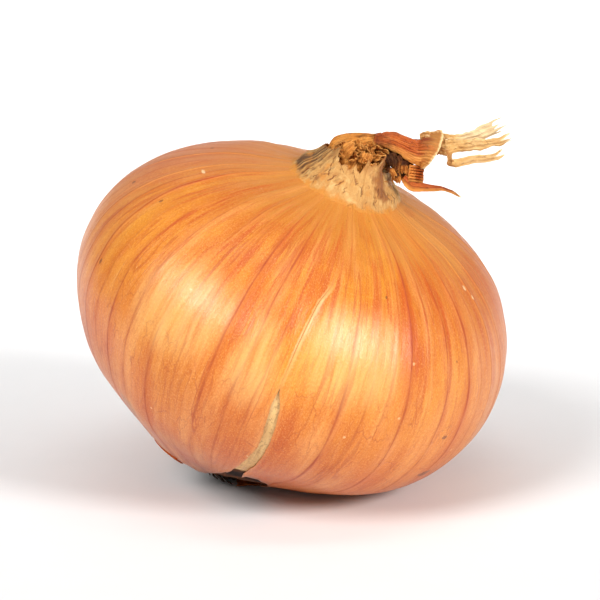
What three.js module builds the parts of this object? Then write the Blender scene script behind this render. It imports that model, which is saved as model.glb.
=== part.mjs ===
// A whole brown onion in its dry skin, lying on the flank of its pointed root end.
// Everything is modelled on the upright onion: Z runs along its axis from the roots to the neck,
// the origin is the middle of the bulb at its equator, +X is the side the dead leaves fall to and
// -Y is the side where the outer skin has split. Two nested turns then lean it over until the flank
// of the root end lies on the table, and its origin becomes the middle of the spot it rests on.
// Millimetres and degrees.
import * as THREE from 'three';

// ---- driving dimensions ----
const SKIN_THICKNESS = 0.5;
const FIT_GAP = 0.3; // between any two pieces that touch
const BULB_INSET = SKIN_THICKNESS + FIT_GAP + 0.15; // the skin's flat faces cut 0.15 inside its curve
const LEAN = 23; // of the onion's axis from the vertical
const LEAN_TOWARDS = -18.6; // compass direction of the lean, from +X
const SPIN = 11.3; // of the onion about its own axis
const REST_SPOT_DEPTH = 0.5; // how far the skin is pressed flat where it meets the table
const ROOT_PLATE_RADIUS = 5.3;
const ROOT_PLATE_REACH = -33; // the lowest point of the root plate, along the axis
const COLUMNS = 48; // faces round the bulb and the skins
const ROWS = 20; // faces from the roots to the neck

// Outline of the bulb's outer skin, [radius, height], from the root plate to the neck.
const SKIN_OUTLINE = [
  [5.5, -31.9], [14, -28.2], [24, -23.4], [33.3, -16.9], [38.9, -7.5], [40.2, 0], [38.6, 8.5],
  [32.7, 16.6], [22.8, 22.9], [13.6, 25.9], [9.4, 27.4], [7.2, 29.6], [6.4, 31.2],
];
// Outline of the ragged collar of older skin round the neck, over the outer skin.
const COLLAR_OUTLINE = [[10.9, 27.75], [8.7, 29.5], [7.2, 31.6], [6.3, 33.8], [5.9, 36.6]];
// [longitude, height] of the collar's torn rim; longitude 0 is the front, 90 the leaves' side.
const COLLAR_RIM = [
  [-180, 35.6], [-140, 36.2], [-100, 35.2], [-70, 34.6], [-45, 34.4], [-32, 32.4], [-14, 32.4],
  [-2, 33.6], [9, 32.2], [18, 34.8], [33, 33.4], [52, 35.4], [70, 34.2], [104, 34.1], [128, 35.4], [154, 34.6],
];
// [longitude, radius] where the outer skin is torn off above the roots.
const SKIN_RIM = [
  [-180, 11.5], [-140, 12.5], [-105, 15], [-70, 17], [-45, 19.5], [-28, 22], [-12, 24.5], [2, 26.5],
  [16, 23.5], [30, 20], [48, 15], [62, 8.5], [90, 7], [140, 9.5],
];
// The split in the outer skin: [height, longitude, width in millimetres], from its tip to the roots.
const SPLIT = [[2, 5, 0], [-4, 6, 1.5], [-10, 7, 1.7], [-15, 6.4, 2.1], [-21, 5, 2.5], [-32, 5, 2.8]];

const radians = THREE.MathUtils.degToRad;
const vector = ([x, y, z]) => new THREE.Vector3(x, y, z);

// ---- colours ----
const finish = (color, roughness) => new THREE.MeshStandardMaterial({ color, roughness, metalness: 0 });
const materials = {
  innerSkin: finish(0xe3c68c, 0.55),
  outerSkin: finish(0xe08a45, 0.42),
  collarSkin: finish(0xe0b877, 0.75),
  neckTissue: finish(0x9a5a2c, 0.8),
  brownLeaf: finish(0xb3531f, 0.5),
  strawLeaf: finish(0xe2b56f, 0.7),
  roots: finish(0x4a2c1a, 0.9),
  brownFlap: finish(0x9c4a22, 0.6),
};

// ---- curves and tables ----
const outlineCurve = (points) =>
  new THREE.CatmullRomCurve3(points.map(([r, z]) => new THREE.Vector3(r, 0, z)), false, 'centripetal');

// Value of a table at x, its rows joined by straight lines; with a period it runs round and round.
function fromTable(table, x, column = 1, period = 0) {
  const rows = period ? [...table, [table[0][0] + period, ...table[0].slice(1)]] : table;
  const start = rows[0][0];
  const at = period ? start + ((((x - start) % period) + period) % period) : x;
  const rising = rows[0][0] < rows[rows.length - 1][0];
  const after = rows.findIndex((row) => (rising ? row[0] >= at : row[0] <= at));
  if (after === 0) return rows[0][column];
  if (after < 0) return rows[rows.length - 1][column];
  const [a, b] = [rows[after - 1], rows[after]];
  return THREE.MathUtils.mapLinear(at, a[0], b[0], a[column], b[column]);
}

// Share of the way along a curve where the given coordinate first passes a value.
function shareWhere(curve, coordinate, value) {
  const steps = 400;
  const start = curve.getPointAt(0)[coordinate];
  for (let i = 1; i <= steps; i++) {
    const here = curve.getPointAt(i / steps)[coordinate];
    if ((here - value) * (start - value) <= 0) return i / steps;
  }
  return 1;
}

// ---- solids ----
// Turns a list of triangles, each three points, into a geometry whose faces point out.
function facingOut(triangles) {
  const volume = triangles.reduce((sum, [a, b, c]) => sum + a.dot(b.clone().cross(c)), 0);
  const corners = triangles.flatMap(([a, b, c]) => (volume < 0 ? [a, c, b] : [a, b, c]));
  return new THREE.BufferGeometry().setFromPoints(corners);
}

const quad = (a, b, c, d) => [[a, b, c], [a, c, d]];
const apart = (a, b) => a.distanceTo(b) > 1e-3;

// A sheet with thickness: the solid between two grids of points, face[row][column] and back[row][column].
// Where the first and last columns meet, the sheet closes round on itself.
function sheetSolid(face, back) {
  const triangles = [];
  const [lastRow, lastColumn] = [face.length - 1, face[0].length - 1];
  for (let i = 0; i < lastRow; i++) {
    for (let j = 0; j < lastColumn; j++) {
      triangles.push(...quad(face[i][j], face[i][j + 1], face[i + 1][j + 1], face[i + 1][j]));
      triangles.push(...quad(back[i][j], back[i + 1][j], back[i + 1][j + 1], back[i][j + 1]));
    }
    const open = apart(face[i][0], face[i][lastColumn]) || apart(face[i + 1][0], face[i + 1][lastColumn]);
    if (open) {
      triangles.push(...quad(face[i][0], face[i + 1][0], back[i + 1][0], back[i][0]));
      const j = lastColumn;
      triangles.push(...quad(face[i][j], back[i][j], back[i + 1][j], face[i + 1][j]));
    }
  }
  for (let j = 0; j < lastColumn; j++) {
    triangles.push(...quad(face[0][j], back[0][j], back[0][j + 1], face[0][j + 1]));
    const i = lastRow;
    triangles.push(...quad(face[i][j], face[i][j + 1], back[i][j + 1], back[i][j]));
  }
  return facingOut(triangles.filter(([a, b, c]) => apart(a, b) && apart(b, c) && apart(c, a)));
}

// The solid inside a row of rings, closed at both ends by a fan to a middle point.
function loftSolid(rings, firstMiddle, lastMiddle) {
  const triangles = [];
  const next = (j) => (j + 1) % rings[0].length;
  const last = rings.length - 1;
  rings[0].forEach((point, j) => triangles.push([firstMiddle, rings[0][next(j)], point]));
  rings[last].forEach((point, j) => triangles.push([lastMiddle, point, rings[last][next(j)]]));
  for (let i = 0; i < last; i++) {
    rings[i].forEach((point, j) => {
      triangles.push(...quad(point, rings[i][next(j)], rings[i + 1][next(j)], rings[i + 1][j]));
    });
  }
  return facingOut(triangles);
}

// ---- the table under the onion ----
const skinOutline = outlineCurve(SKIN_OUTLINE);
const [leanCos, leanSin] = [Math.cos(radians(LEAN)), Math.sin(radians(LEAN))];
// The outline on the low side of the leaning onion: how far out each point lies, and how high.
const lowSide = skinOutline.getPoints(600).map(({ x, z }) =>
  ({ reach: z * leanSin + x * leanCos, height: z * leanCos - x * leanSin }));
const tableHeight = Math.min(...lowSide.map(({ height }) => height)) + REST_SPOT_DEPTH;
const pressed = lowSide.filter(({ height }) => height < tableHeight);
const restReach = (pressed[0].reach + pressed.at(-1).reach) / 2;
// The table's upward direction, seen from the upright onion.
const tableUp = new THREE.Vector3(-leanSin * Math.cos(radians(SPIN)), leanSin * Math.sin(radians(SPIN)), leanCos);

// Lifts a point of the upright onion that would lie less than clearance above the table.
function aboveTable(point, clearance) {
  const height = point.dot(tableUp) - tableHeight;
  return height < clearance ? point.addScaledVector(tableUp, clearance - height) : point;
}

// ---- bulb and skins ----
// Longitude 0 faces -Y and 90 faces +X.
function onRing(radius, height, longitude) {
  const angle = radians(longitude);
  return new THREE.Vector3(radius * Math.sin(angle), -radius * Math.cos(angle), height);
}

// Point on a surface of revolution, a share of the way along its outline, inset below the surface.
function surfacePoint(outline, share, longitude, inset) {
  const point = outline.getPointAt(share);
  const tangent = outline.getTangentAt(share);
  return onRing(point.x - inset * tangent.z, point.z + inset * tangent.x, longitude);
}

const longitudes = (count, from = 0, to = 360) =>
  Array.from({ length: count + 1 }, (_, j) => from + ((to - from) * j) / count);
const shares = (count) => Array.from({ length: count + 1 }, (_, i) => i / count);
// Rows gather towards the neck, where the outline turns most sharply.
const skinRows = shares(ROWS).map((share) => 1 - (1 - share) ** 1.5);

// The fleshy bulb in its inner skin, one solid from the root plate to the dry neck.
function bulb() {
  const ringAt = (share) => longitudes(COLUMNS).slice(0, -1).map((longitude) =>
    aboveTable(surfacePoint(skinOutline, share, longitude, BULB_INSET), BULB_INSET));
  const rings = skinRows.map(ringAt);
  const topHeight = rings.at(-1)[0].z;
  const rootEnd = new THREE.Vector3(0, 0, SKIN_OUTLINE[0][1] + BULB_INSET);
  return loftSolid(rings, rootEnd, new THREE.Vector3(0, 0, topHeight + FIT_GAP));
}

// The dry outer skin: a thin shell round the bulb, split along the front and torn off above the roots.
function outerSkin() {
  const startShares = SKIN_RIM.map(([longitude, radius]) => [longitude, shareWhere(skinOutline, 'x', radius)]);
  const grid = (inset, clearance) => skinRows.map((row) => {
    const rowOf = (longitude) => {
      const start = fromTable(startShares, longitude, 1, 360);
      return start + (1 - start) * row;
    };
    const front = skinOutline.getPointAt(rowOf(SPLIT[3][1]));
    const middle = fromTable(SPLIT, front.z, 1);
    const halfOpening = THREE.MathUtils.radToDeg(fromTable(SPLIT, front.z, 2) / 2 / front.x);
    return longitudes(COLUMNS, middle + halfOpening, middle + 360 - halfOpening).map((longitude) =>
      aboveTable(surfacePoint(skinOutline, rowOf(longitude), longitude, inset), clearance));
  });
  return sheetSolid(grid(0, 0), grid(SKIN_THICKNESS, SKIN_THICKNESS));
}

// The ragged collar: what is left of an older skin, bleached and dry, standing round the neck.
function neckCollar() {
  const outline = outlineCurve(COLLAR_OUTLINE);
  const rimShares = COLLAR_RIM.map(([longitude, height]) => [longitude, shareWhere(outline, 'z', height)]);
  const grid = (inset) => shares(5).map((row) => longitudes(COLUMNS).map((longitude) =>
    surfacePoint(outline, row * fromTable(rimShares, longitude, 1, 360), longitude, inset)));
  return sheetSolid(grid(0), grid(SKIN_THICKNESS));
}

// ---- dead leaves ----
// A leaf follows stations { at, width, faces, cup }: the middle of the blade, its width, the way its
// outer side faces, and the angle in degrees that it is cupped through, away from that side.
function leaf(stations, { steps = 12, across = 6, thickness = 0.45 } = {}) {
  const route = new THREE.CatmullRomCurve3(stations.map(({ at }) => vector(at)), false, 'centripetal');
  const table = stations.map(({ width, faces, cup = 20 }, i) =>
    [i / (stations.length - 1), width, cup, ...faces]);
  const face = [];
  const back = [];
  for (const share of shares(steps)) {
    const [width, cup, ...faces] = [1, 2, 3, 4, 5].map((column) => fromTable(table, share, column));
    const middle = route.getPoint(share);
    const along = route.getTangent(share);
    const side = along.clone().cross(vector(faces)).normalize();
    const out = side.clone().cross(along).normalize();
    const halfAngle = radians(cup) / 2;
    const bendRadius = width / 2 / halfAngle;
    const blade = (depth) => longitudes(across, -halfAngle, halfAngle).map((angle) => middle.clone()
      .addScaledVector(side, (bendRadius + depth) * Math.sin(angle))
      .addScaledVector(out, (bendRadius + depth) * Math.cos(angle) - bendRadius));
    face.push(blade(thickness / 2));
    back.push(blade(-thickness / 2));
  }
  return sheetSolid(face, back);
}

// A round dry stalk or root through stations { at, radius }.
function stalk(stations, { steps = 8, sides = 10 } = {}) {
  const route = new THREE.CatmullRomCurve3(stations.map(({ at }) => vector(at)), false, 'centripetal');
  const table = stations.map(({ radius }, i) => [i / (stations.length - 1), radius]);
  const across = new THREE.Vector3(0, 1, 0);
  const rings = shares(steps).map((share) => {
    const side = route.getTangent(share).cross(across).normalize();
    const other = route.getTangent(share).cross(side).normalize();
    const radius = fromTable(table, share);
    return longitudes(sides).slice(0, -1).map((angle) => route.getPoint(share)
      .addScaledVector(side, radius * Math.cos(radians(angle)))
      .addScaledVector(other, radius * Math.sin(radians(angle))));
  });
  return loftSolid(rings, route.getPoint(0), route.getPoint(1));
}

// The bundle of dead inner leaves, filling the collar and bending over towards +X.
const neckSheath = () => stalk([
  { at: [0, 0.5, 31.8], radius: 4.5 },
  { at: [-0.2, 0.5, 33.6], radius: 4.6 },
  { at: [-0.3, 0.5, 35.2], radius: 3.8 },
  { at: [0.5, 0.2, 36.5], radius: 1.8 },
  { at: [1.7, 0, 37.3], radius: 0.8 },
  { at: [2.8, -0.1, 37.5], radius: 0.6 },
], { steps: 12, sides: 16 });

const FRONT = [0, -1, 0];
// The brown leaf that folds over the neck and opens like a bell.
const bentLeaf = () => leaf([
  { at: [1.5, -1.7, 37.5], width: 4.8, faces: [-0.2, -1, 0.2], cup: 180 },
  { at: [4.2, -2.45, 37.7], width: 8.2, faces: FRONT, cup: 210 },
  { at: [7.2, -2.8, 37.7], width: 10, faces: FRONT, cup: 220 },
  { at: [9.6, -3.1, 38.2], width: 11.1, faces: FRONT, cup: 220 },
  { at: [11.3, -3.8, 39.5], width: 14.6, faces: FRONT, cup: 220 },
], { steps: 12, across: 14, thickness: 0.5 });

const strawLeafFront = () => leaf([
  { at: [10.6, -1.8, 40.6], width: 3, faces: FRONT, cup: 60 },
  { at: [13.0, -2.1, 41.8], width: 3.2, faces: FRONT, cup: 60 },
  { at: [15.6, -1.9, 43.3], width: 2.8, faces: FRONT, cup: 40 },
  { at: [18.4, -1.5, 44.8], width: 2.1, faces: FRONT, cup: 30 },
  { at: [21.2, -1.2, 46.2], width: 1.9, faces: FRONT, cup: 40 },
  { at: [23.3, -0.8, 48.1], width: 0.9, faces: [0, -1, 0.3], cup: 20 },
]);

const strawLeafBack = () => leaf([
  { at: [10.9, -0.9, 41.8], width: 2.2, faces: FRONT, cup: 60 },
  { at: [14.0, -0.6, 43.8], width: 2.6, faces: FRONT, cup: 40 },
  { at: [17.0, -0.4, 46.0], width: 3, faces: FRONT, cup: 20 },
  { at: [19.0, -0.2, 48.3], width: 2.6, faces: FRONT, cup: 30 },
  { at: [20.6, -0.2, 50.6], width: 1, faces: FRONT, cup: 20 },
]);

// A narrow strip that drops from the straw leaf, loops once and runs out beside it.
const curledStrip = () => leaf([
  { at: [14.2, -2.1, 40.0], width: 0.9, faces: [0.3, -1, 0] },
  { at: [15.2, -2.1, 39.9], width: 1.1, faces: [0.6, -0.8, 0.3] },
  { at: [15.7, -2.3, 38.9], width: 1.3, faces: [0.2, -1, -0.4] },
  { at: [16.7, -2.5, 39.3], width: 1.5, faces: [-0.3, -1, 0.2] },
  { at: [18.8, -2.4, 40.7], width: 1.5, faces: FRONT },
  { at: [21.2, -2.1, 42.0], width: 1.3, faces: FRONT },
  { at: [22.9, -1.9, 44.2], width: 0.9, faces: FRONT },
], { steps: 24, across: 3, thickness: 0.4 });

// A short leaf end under the bell, crushed into pleats along its length.
function pleatedFold() {
  const pleats = 6;
  const stations = Array.from({ length: 2 * pleats + 1 }, (_, i) => {
    const share = i / (2 * pleats);
    return {
      at: [10.4 + 1.1 * share, -1.9 + (i % 2 ? -0.3 : 0.3), 34.6 - 1.7 * share],
      width: i % 2 ? 2.5 : 2.1,
      faces: FRONT,
      cup: 40,
    };
  });
  return leaf(stations, { steps: 2 * pleats, across: 4, thickness: 0.5 });
}

const pointedShred = () => leaf([
  { at: [10.9, -1.9, 31.4], width: 1.4, faces: FRONT, cup: 60 },
  { at: [13.2, -2.4, 32.0], width: 1.2, faces: FRONT, cup: 60 },
  { at: [15.6, -2.6, 33.6], width: 0.8, faces: [0, -1, 0.3], cup: 40 },
  { at: [17.6, -2.6, 33.9], width: 0.55, faces: [0, -1, 0.3] },
  { at: [19.5, -2.5, 33.9], width: 0.4, faces: FRONT },
], { steps: 10, across: 3 });

// Flakes torn from the inner leaves: two stand behind the collar's rim, two hang under the bell.
const TORN_FLAKES = [
  [
    { at: [-2.5, -4.4, 34.0], width: 2.4, faces: [-0.5, -1, 0.1], cup: 40 },
    { at: [-2.2, -4.2, 35.6], width: 2.2, faces: [-0.4, -1, 0.3], cup: 40 },
    { at: [-1.4, -3.6, 37.0], width: 0.9, faces: [-0.3, -1, 0.8], cup: 20 },
  ],
  [
    { at: [1.4, -4.9, 34.0], width: 2.0, faces: [0.3, -1, 0.1], cup: 30 },
    { at: [1.4, -4.6, 35.2], width: 2.2, faces: [0.2, -1, 0.3], cup: 40 },
    { at: [1.3, -4.0, 36.2], width: 1.0, faces: [0.1, -1, 0.6], cup: 20 },
  ],
  [
    { at: [7.2, -1.8, 34.4], width: 1.6, faces: FRONT, cup: 60 },
    { at: [7.7, -2.1, 33.3], width: 1.8, faces: FRONT, cup: 70 },
    { at: [8.2, -1.8, 31.7], width: 0.9, faces: FRONT, cup: 30 },
  ],
  [
    { at: [8.9, -0.5, 34.3], width: 1.8, faces: FRONT, cup: 60 },
    { at: [9.2, -0.7, 33.3], width: 1.9, faces: FRONT, cup: 70 },
    { at: [9.5, -0.5, 32.1], width: 0.9, faces: FRONT, cup: 30 },
  ],
];

// ---- root end ----
// The corky plate that the roots grow from.
function rootPlate() {
  const rim = SKIN_OUTLINE[0][1];
  const ring = (radius, height) => longitudes(24).slice(0, -1).map((longitude) =>
    aboveTable(onRing(radius, height, longitude), 0));
  const rings = [
    ring(ROOT_PLATE_RADIUS * 0.85, rim + FIT_GAP),
    ring(ROOT_PLATE_RADIUS, rim - FIT_GAP),
    ring(ROOT_PLATE_RADIUS * 0.7, ROOT_PLATE_REACH + FIT_GAP),
    ring(ROOT_PLATE_RADIUS * 0.35, ROOT_PLATE_REACH),
  ];
  return loftSolid(rings, new THREE.Vector3(0, 0, rim + FIT_GAP), new THREE.Vector3(0, 0, ROOT_PLATE_REACH));
}

// Short dead roots, [longitude, length], that leave the plate's rim and lie back along the bulb.
const DEAD_ROOTS = [[-172, 3.6], [-140, 4.6], [-112, 4.2], [-86, 5.4], [-60, 4.6], [-34, 5.6], [-8, 4.2]];
const ROOT_RADIUS = 0.45;

function deadRoot([longitude, length]) {
  const start = ROOT_PLATE_RADIUS + FIT_GAP;
  const inset = BULB_INSET - FIT_GAP - ROOT_RADIUS;
  const stations = [0, 0.5, 1].map((share) => {
    const along = shareWhere(skinOutline, 'x', start + share * length);
    const middle = surfacePoint(skinOutline, along, longitude + 14 * share * share, inset - 0.8 * share * share);
    return { at: aboveTable(middle, ROOT_RADIUS * 1.2).toArray(), radius: ROOT_RADIUS * (1 - 0.4 * share) };
  });
  return stalk(stations, { steps: 5, sides: 6 });
}

// Flaps of brown skin left round the roots, below the torn rim of the outer skin: the longitudes and
// radii they cover, and how far their free edge curls away from the bulb.
const ROOT_FLAPS = {
  root_flap_front: { longitudes: [20, 52], attached: 7.6, free: 13, curl: 1.4 },
  root_flap_left: { longitudes: [-46, -24], attached: 18.2, free: 12.6, curl: 1.5 },
};
const FLAP_THICKNESS = 0.4;

function rootFlap({ longitudes: [from, to], attached, free, curl }) {
  const innermost = BULB_INSET - FIT_GAP;
  const grid = (depth, clearance) => shares(5).map((share) => {
    const along = shareWhere(skinOutline, 'x', attached + (free - attached) * share);
    const taper = (to - from) * 0.3 * share * share;
    return longitudes(6, from + taper, to - taper).map((longitude) => aboveTable(
      surfacePoint(skinOutline, along, longitude, innermost - depth - curl * share * share), clearance));
  });
  return sheetSolid(grid(FLAP_THICKNESS, 0), grid(0, FLAP_THICKNESS));
}

// ---- the onion ----
// Everything hangs in the upright onion, which is spun, leaned over and set down on the table.
const upright = new THREE.Group();
upright.rotation.z = radians(SPIN);

function add(name, geometry, material) {
  const mesh = new THREE.Mesh(geometry, material);
  mesh.name = name;
  upright.add(mesh);
}

add('bulb', bulb(), materials.innerSkin);
add('outer_skin', outerSkin(), materials.outerSkin);
add('neck_collar', neckCollar(), materials.collarSkin);
add('neck_sheath', neckSheath(), materials.neckTissue);
add('bent_leaf', bentLeaf(), materials.brownLeaf);
add('straw_leaf_front', strawLeafFront(), materials.strawLeaf);
add('straw_leaf_back', strawLeafBack(), materials.strawLeaf);
add('curled_strip', curledStrip(), materials.strawLeaf);
add('pleated_fold', pleatedFold(), materials.brownLeaf);
add('pointed_shred', pointedShred(), materials.brownLeaf);
TORN_FLAKES.forEach((stations, i) => {
  add(`torn_flake_${i + 1}`, leaf(stations, { steps: 6, across: 4, thickness: 0.4 }), materials.neckTissue);
});
add('root_plate', rootPlate(), materials.roots);
DEAD_ROOTS.forEach((place, i) => add(`dead_root_${i + 1}`, deadRoot(place), materials.roots));
Object.entries(ROOT_FLAPS).forEach(([name, flap]) => add(name, rootFlap(flap), materials.brownFlap));

const leaned = new THREE.Group();
leaned.rotation.y = radians(LEAN);
leaned.position.set(-restReach, 0, -tableHeight);
leaned.add(upright);

const onion = new THREE.Group();
onion.rotation.z = radians(LEAN_TOWARDS);
onion.add(leaned);

export default onion;
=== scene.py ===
"""A whole brown onion in its dry skin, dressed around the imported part.

Shapes are worked out on the upright onion, in millimetres: Z runs along its axis from the roots to the
neck, the origin is the middle of the bulb at its equator, +X is the side the dead leaves fall to and
-Y, longitude 0, is the side where the outer skin has split. One matrix then leans it over and sets it
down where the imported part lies. The driving dimensions are those of the part.
"""
import math

import bpy
import numpy as np
from mathutils import Matrix, Vector, noise


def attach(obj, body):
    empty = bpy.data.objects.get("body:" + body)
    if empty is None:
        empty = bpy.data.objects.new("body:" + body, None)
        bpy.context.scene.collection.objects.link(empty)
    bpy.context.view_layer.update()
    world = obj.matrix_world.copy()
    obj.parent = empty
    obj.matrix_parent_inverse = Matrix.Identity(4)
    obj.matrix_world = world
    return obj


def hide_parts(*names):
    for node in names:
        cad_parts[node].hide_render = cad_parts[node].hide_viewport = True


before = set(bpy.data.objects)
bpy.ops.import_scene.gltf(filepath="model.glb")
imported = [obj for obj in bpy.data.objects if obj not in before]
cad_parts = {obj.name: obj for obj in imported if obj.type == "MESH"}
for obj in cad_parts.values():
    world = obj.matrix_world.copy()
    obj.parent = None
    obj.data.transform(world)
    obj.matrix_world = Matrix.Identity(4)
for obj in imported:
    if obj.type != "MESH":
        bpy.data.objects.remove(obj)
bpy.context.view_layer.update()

# ---- driving dimensions, millimetres and degrees, as in the part ----
MM = 0.001
LEAN = 23
LEAN_TOWARDS = -18.6
SPIN = 11.3
REST_SPOT_DEPTH = 0.5
PAPER = 0.18  # thickness of dry skin, thinner than the part's printable 0.5
ROOT_PLATE_RADIUS = 5.3
ROOT_PLATE_REACH = -33
COLLAR_ROOM = 0.95  # that the collar can be tucked in before it meets the skin's end inside it
AXIS_LENGTH = 66  # from the root plate's end to the neck, which the value "up" counts from 0 to 1
DEGREES_A_UNIT = 10  # of longitude, on the map that the skins' finishes use
UNITS_ALONG = 9  # of the same map, from the roots to the neck
SPLIT_LONGITUDE = 5  # where the skin's map starts and ends

# Outline of the bulb's outer skin, [radius, height], from the root plate to the neck.
SKIN_OUTLINE = [
    (5.5, -31.9), (14, -28.2), (24, -23.4), (33.3, -16.9), (38.9, -7.5), (40.2, 0), (38.6, 8.5),
    (32.7, 16.6), (22.8, 22.9), (13.6, 25.9), (9.4, 27.4), (7.2, 29.6), (6.4, 31.2),
]
# Outline of the collar; its hem lies on the outer skin.
COLLAR_OUTLINE = [
    (12.8, 26.4), (11.4, 26.9), (10.1, 27.7), (8.9, 29.3), (7.5, 31.4), (6.2, 33.5), (5.7, 36.9),
]
# [longitude, height] of the collar's torn rim.
COLLAR_RIM = [
    (-180, 32.0), (-150, 31.8), (-120, 31.8), (-95, 32.2), (-75, 32.6), (-55, 33.2), (-44, 34.2),
    (-38, 34.5), (-34, 34.2), (-30, 32.9), (-25, 32.4), (-18, 32.0), (-12, 32.5), (-5, 32.1), (2, 33.1),
    (7, 32.4), (12, 32.3), (15, 33.1), (19, 34.9), (25, 34.0), (31, 34.2), (36, 33.9), (41, 34.8),
    (45, 36.0), (49, 35.6), (54, 33.8), (60, 33.0), (84, 32.6), (104, 32.8), (128, 33.0), (154, 32.6),
]
# [longitude, radius] where the outer skin is torn off above the roots.
SKIN_RIM = [
    (-180, 11.5), (-140, 12), (-105, 11.5), (-70, 12), (-45, 12), (-28, 11.5), (-14, 12.5), (-6, 16),
    (1, 24.5), (7, 28.3), (13, 27.4), (18, 25), (24, 20), (31, 14), (40, 11), (62, 9), (90, 7), (140, 9.5),
]
# The split: [height, longitude of its middle, width in millimetres], a fine crack first, then open.
SPLIT = [
    (22, 9.6, 0), (19.6, 9.3, 0), (17.7, 7.5, 0), (16, 6.2, 0), (11, 5.1, 0), (6, 4.8, 0), (2.6, 4.7, 0),
    (1.2, 4.9, 0.5), (-1, 5.5, 1.5), (-5, 6.3, 1.8), (-10, 7.0, 1.6), (-15, 6.3, 2.1), (-20.5, 4.7, 2.3),
    (-26, 4.4, 2.6), (-32, 5, 2.8),
]
# Main veins of the outer skin, on the side with the split: the longitude low down, at the shoulder
# and near the neck, how dark each is, and how far it stands up as a ridge, painted paler as a highlight.
FRONT_VEINS = [
    (-82, -83, -82, 0.5, 0), (-73, -74, -75, 0.3, 0.5), (-66, -68, -69, 0.7, 0), (-58, -60.5, -64, 0.8, 0.35),
    (-52, -53, -55, 0.35, 0), (-44.5, -46.5, -48.7, 0.9, 0), (-37, -38.5, -40, 0.6, 0),
    (-28.2, -29.3, -29.8, 1, 0.2), (-20, -21.5, -23, 0.4, 0), (-12.4, -13, -14.6, 1, 0.1),
    (-5, -5.6, -5.9, 0.7, 0), (-0.5, 0, 0.6, 0.25, 0), (5.1, 4.9, 4.0, 0, 0),
    (11, 10, 9.6, 0.15, 0), (15.5, 14, 13.6, 0.2, 0), (22, 20.5, 18.7, 0.9, 0), (28, 27, 26.5, 0.35, 0),
    (31.8, 32.3, 33.5, 0.6, 0.35), (39.8, 38, 36.8, 0.85, 0), (46, 44.5, 43.5, 0.3, 0.4),
    (52.6, 51, 50, 1, 0), (61, 60, 59, 0.8, 0), (66, 66, 66, 0.3, 0), (71.5, 72, 72.5, 0.45, 0.5),
    (80, 80.5, 81, 0.6, 0.3),
]
VEIN_SPACING = 7.6  # of the veins on the far side, on average


# ---- curves and tables ----
def smooth_through(points):
    """Points of the centripetal Catmull-Rom curve through the given ones."""
    given = np.array(points, float)
    padded = np.vstack([2 * given[0] - given[1], given, 2 * given[-1] - given[-2]])
    steps = np.linspace(0, 1, 48, endpoint=False)[:, None]
    spans = []
    for a, b, c, d in zip(padded, padded[1:], padded[2:], padded[3:]):
        before, here, after = (np.sum((q - p) ** 2) ** 0.25 for p, q in ((a, b), (b, c), (c, d)))
        start = ((b - a) / before - (c - a) / (before + here) + (c - b) / here) * here
        end = ((c - b) / here - (d - b) / (here + after) + (d - c) / after) * here
        spans.append(b + start * steps + (3 * (c - b) - 2 * start - end) * steps ** 2
                     + (2 * (b - c) + start + end) * steps ** 3)
    return np.vstack(spans + [given[-1:]])


class Outline:
    """A smooth [radius, height] curve, read by the share of its length."""

    def __init__(self, points):
        self.points = smooth_through(points)
        steps = np.hypot(*np.diff(self.points, axis=0).T)
        self.length = steps.sum()
        self.shares = np.concatenate([[0], np.cumsum(steps)]) / self.length

    def at(self, share):
        return [np.interp(share, self.shares, column) for column in self.points.T]

    def outward(self, share):
        slopes = np.gradient(self.points, self.shares, axis=0)
        along_r, along_z = (np.interp(share, self.shares, column) for column in slopes.T)
        length = np.hypot(along_r, along_z)
        return along_z / length, -along_r / length

    def share_of_radius(self, radius):
        widest = int(np.argmax(self.points[:, 0]))
        return np.interp(radius, self.points[: widest + 1, 0], self.shares[: widest + 1])

    def share_of_neck_radius(self, radius):
        widest = int(np.argmax(self.points[:, 0]))
        return np.interp(radius, self.points[widest:, 0][::-1], self.shares[widest:][::-1])

    def share_of_height(self, height):
        return np.interp(height, self.points[:, 1], self.shares)


def around(table, longitude):
    """Value of a table of [longitude, value] that runs round and round."""
    longitudes, values = np.array(table, float).T
    return np.interp(longitude, longitudes, values, period=360)


def down(table, height, column):
    """Value of a table whose first column is a falling height, smoothly between its rows."""
    rows = smooth_rows(np.array(table, float))[::-1]
    return np.maximum(np.interp(height, rows[:, 0], rows[:, column]), 0)


def ripple(*place, seed=0.0):
    """Smooth noise from -1 to 1 over numbers or arrays of them."""
    arrays = np.broadcast_arrays(*[np.asarray(p, float) for p in place])
    flat = np.stack([a.ravel() for a in arrays], axis=1)
    flat = np.hstack([flat, np.full((len(flat), 3 - flat.shape[1]), seed)])
    values = [noise.noise(Vector(row) + Vector((seed, seed * 1.7, 0.37))) for row in flat]
    return np.array(values).reshape(arrays[0].shape)


def smoothstep(low, high, value):
    share = np.clip((value - low) / (high - low), 0, 1)
    return share * share * (3 - 2 * share)


# ---- from the upright onion to where the part lies ----
skin_outline = Outline(SKIN_OUTLINE)
low_side = skin_outline.points
lean_cos, lean_sin = math.cos(math.radians(LEAN)), math.sin(math.radians(LEAN))
low_reach = low_side[:, 1] * lean_sin + low_side[:, 0] * lean_cos
low_height = low_side[:, 1] * lean_cos - low_side[:, 0] * lean_sin
table_height = low_height.min() + REST_SPOT_DEPTH
pressed = low_reach[low_height < table_height]
rest_reach = (pressed[0] + pressed[-1]) / 2
PLACE = (
    Matrix.Rotation(math.radians(LEAN_TOWARDS), 4, "Z")
    @ Matrix.Translation((-rest_reach, 0, -table_height))
    @ Matrix.Rotation(math.radians(LEAN), 4, "Y")
    @ Matrix.Rotation(math.radians(SPIN), 4, "Z")
)


def placed(points, clearance=0.0):
    """Points of the upright onion, in metres in the part's frame, none lower than the table."""
    matrix = np.array(PLACE)
    moved = points @ matrix[:3, :3].T + matrix[:3, 3]
    moved[..., 2] = np.maximum(moved[..., 2], clearance)
    return moved * MM


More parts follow.
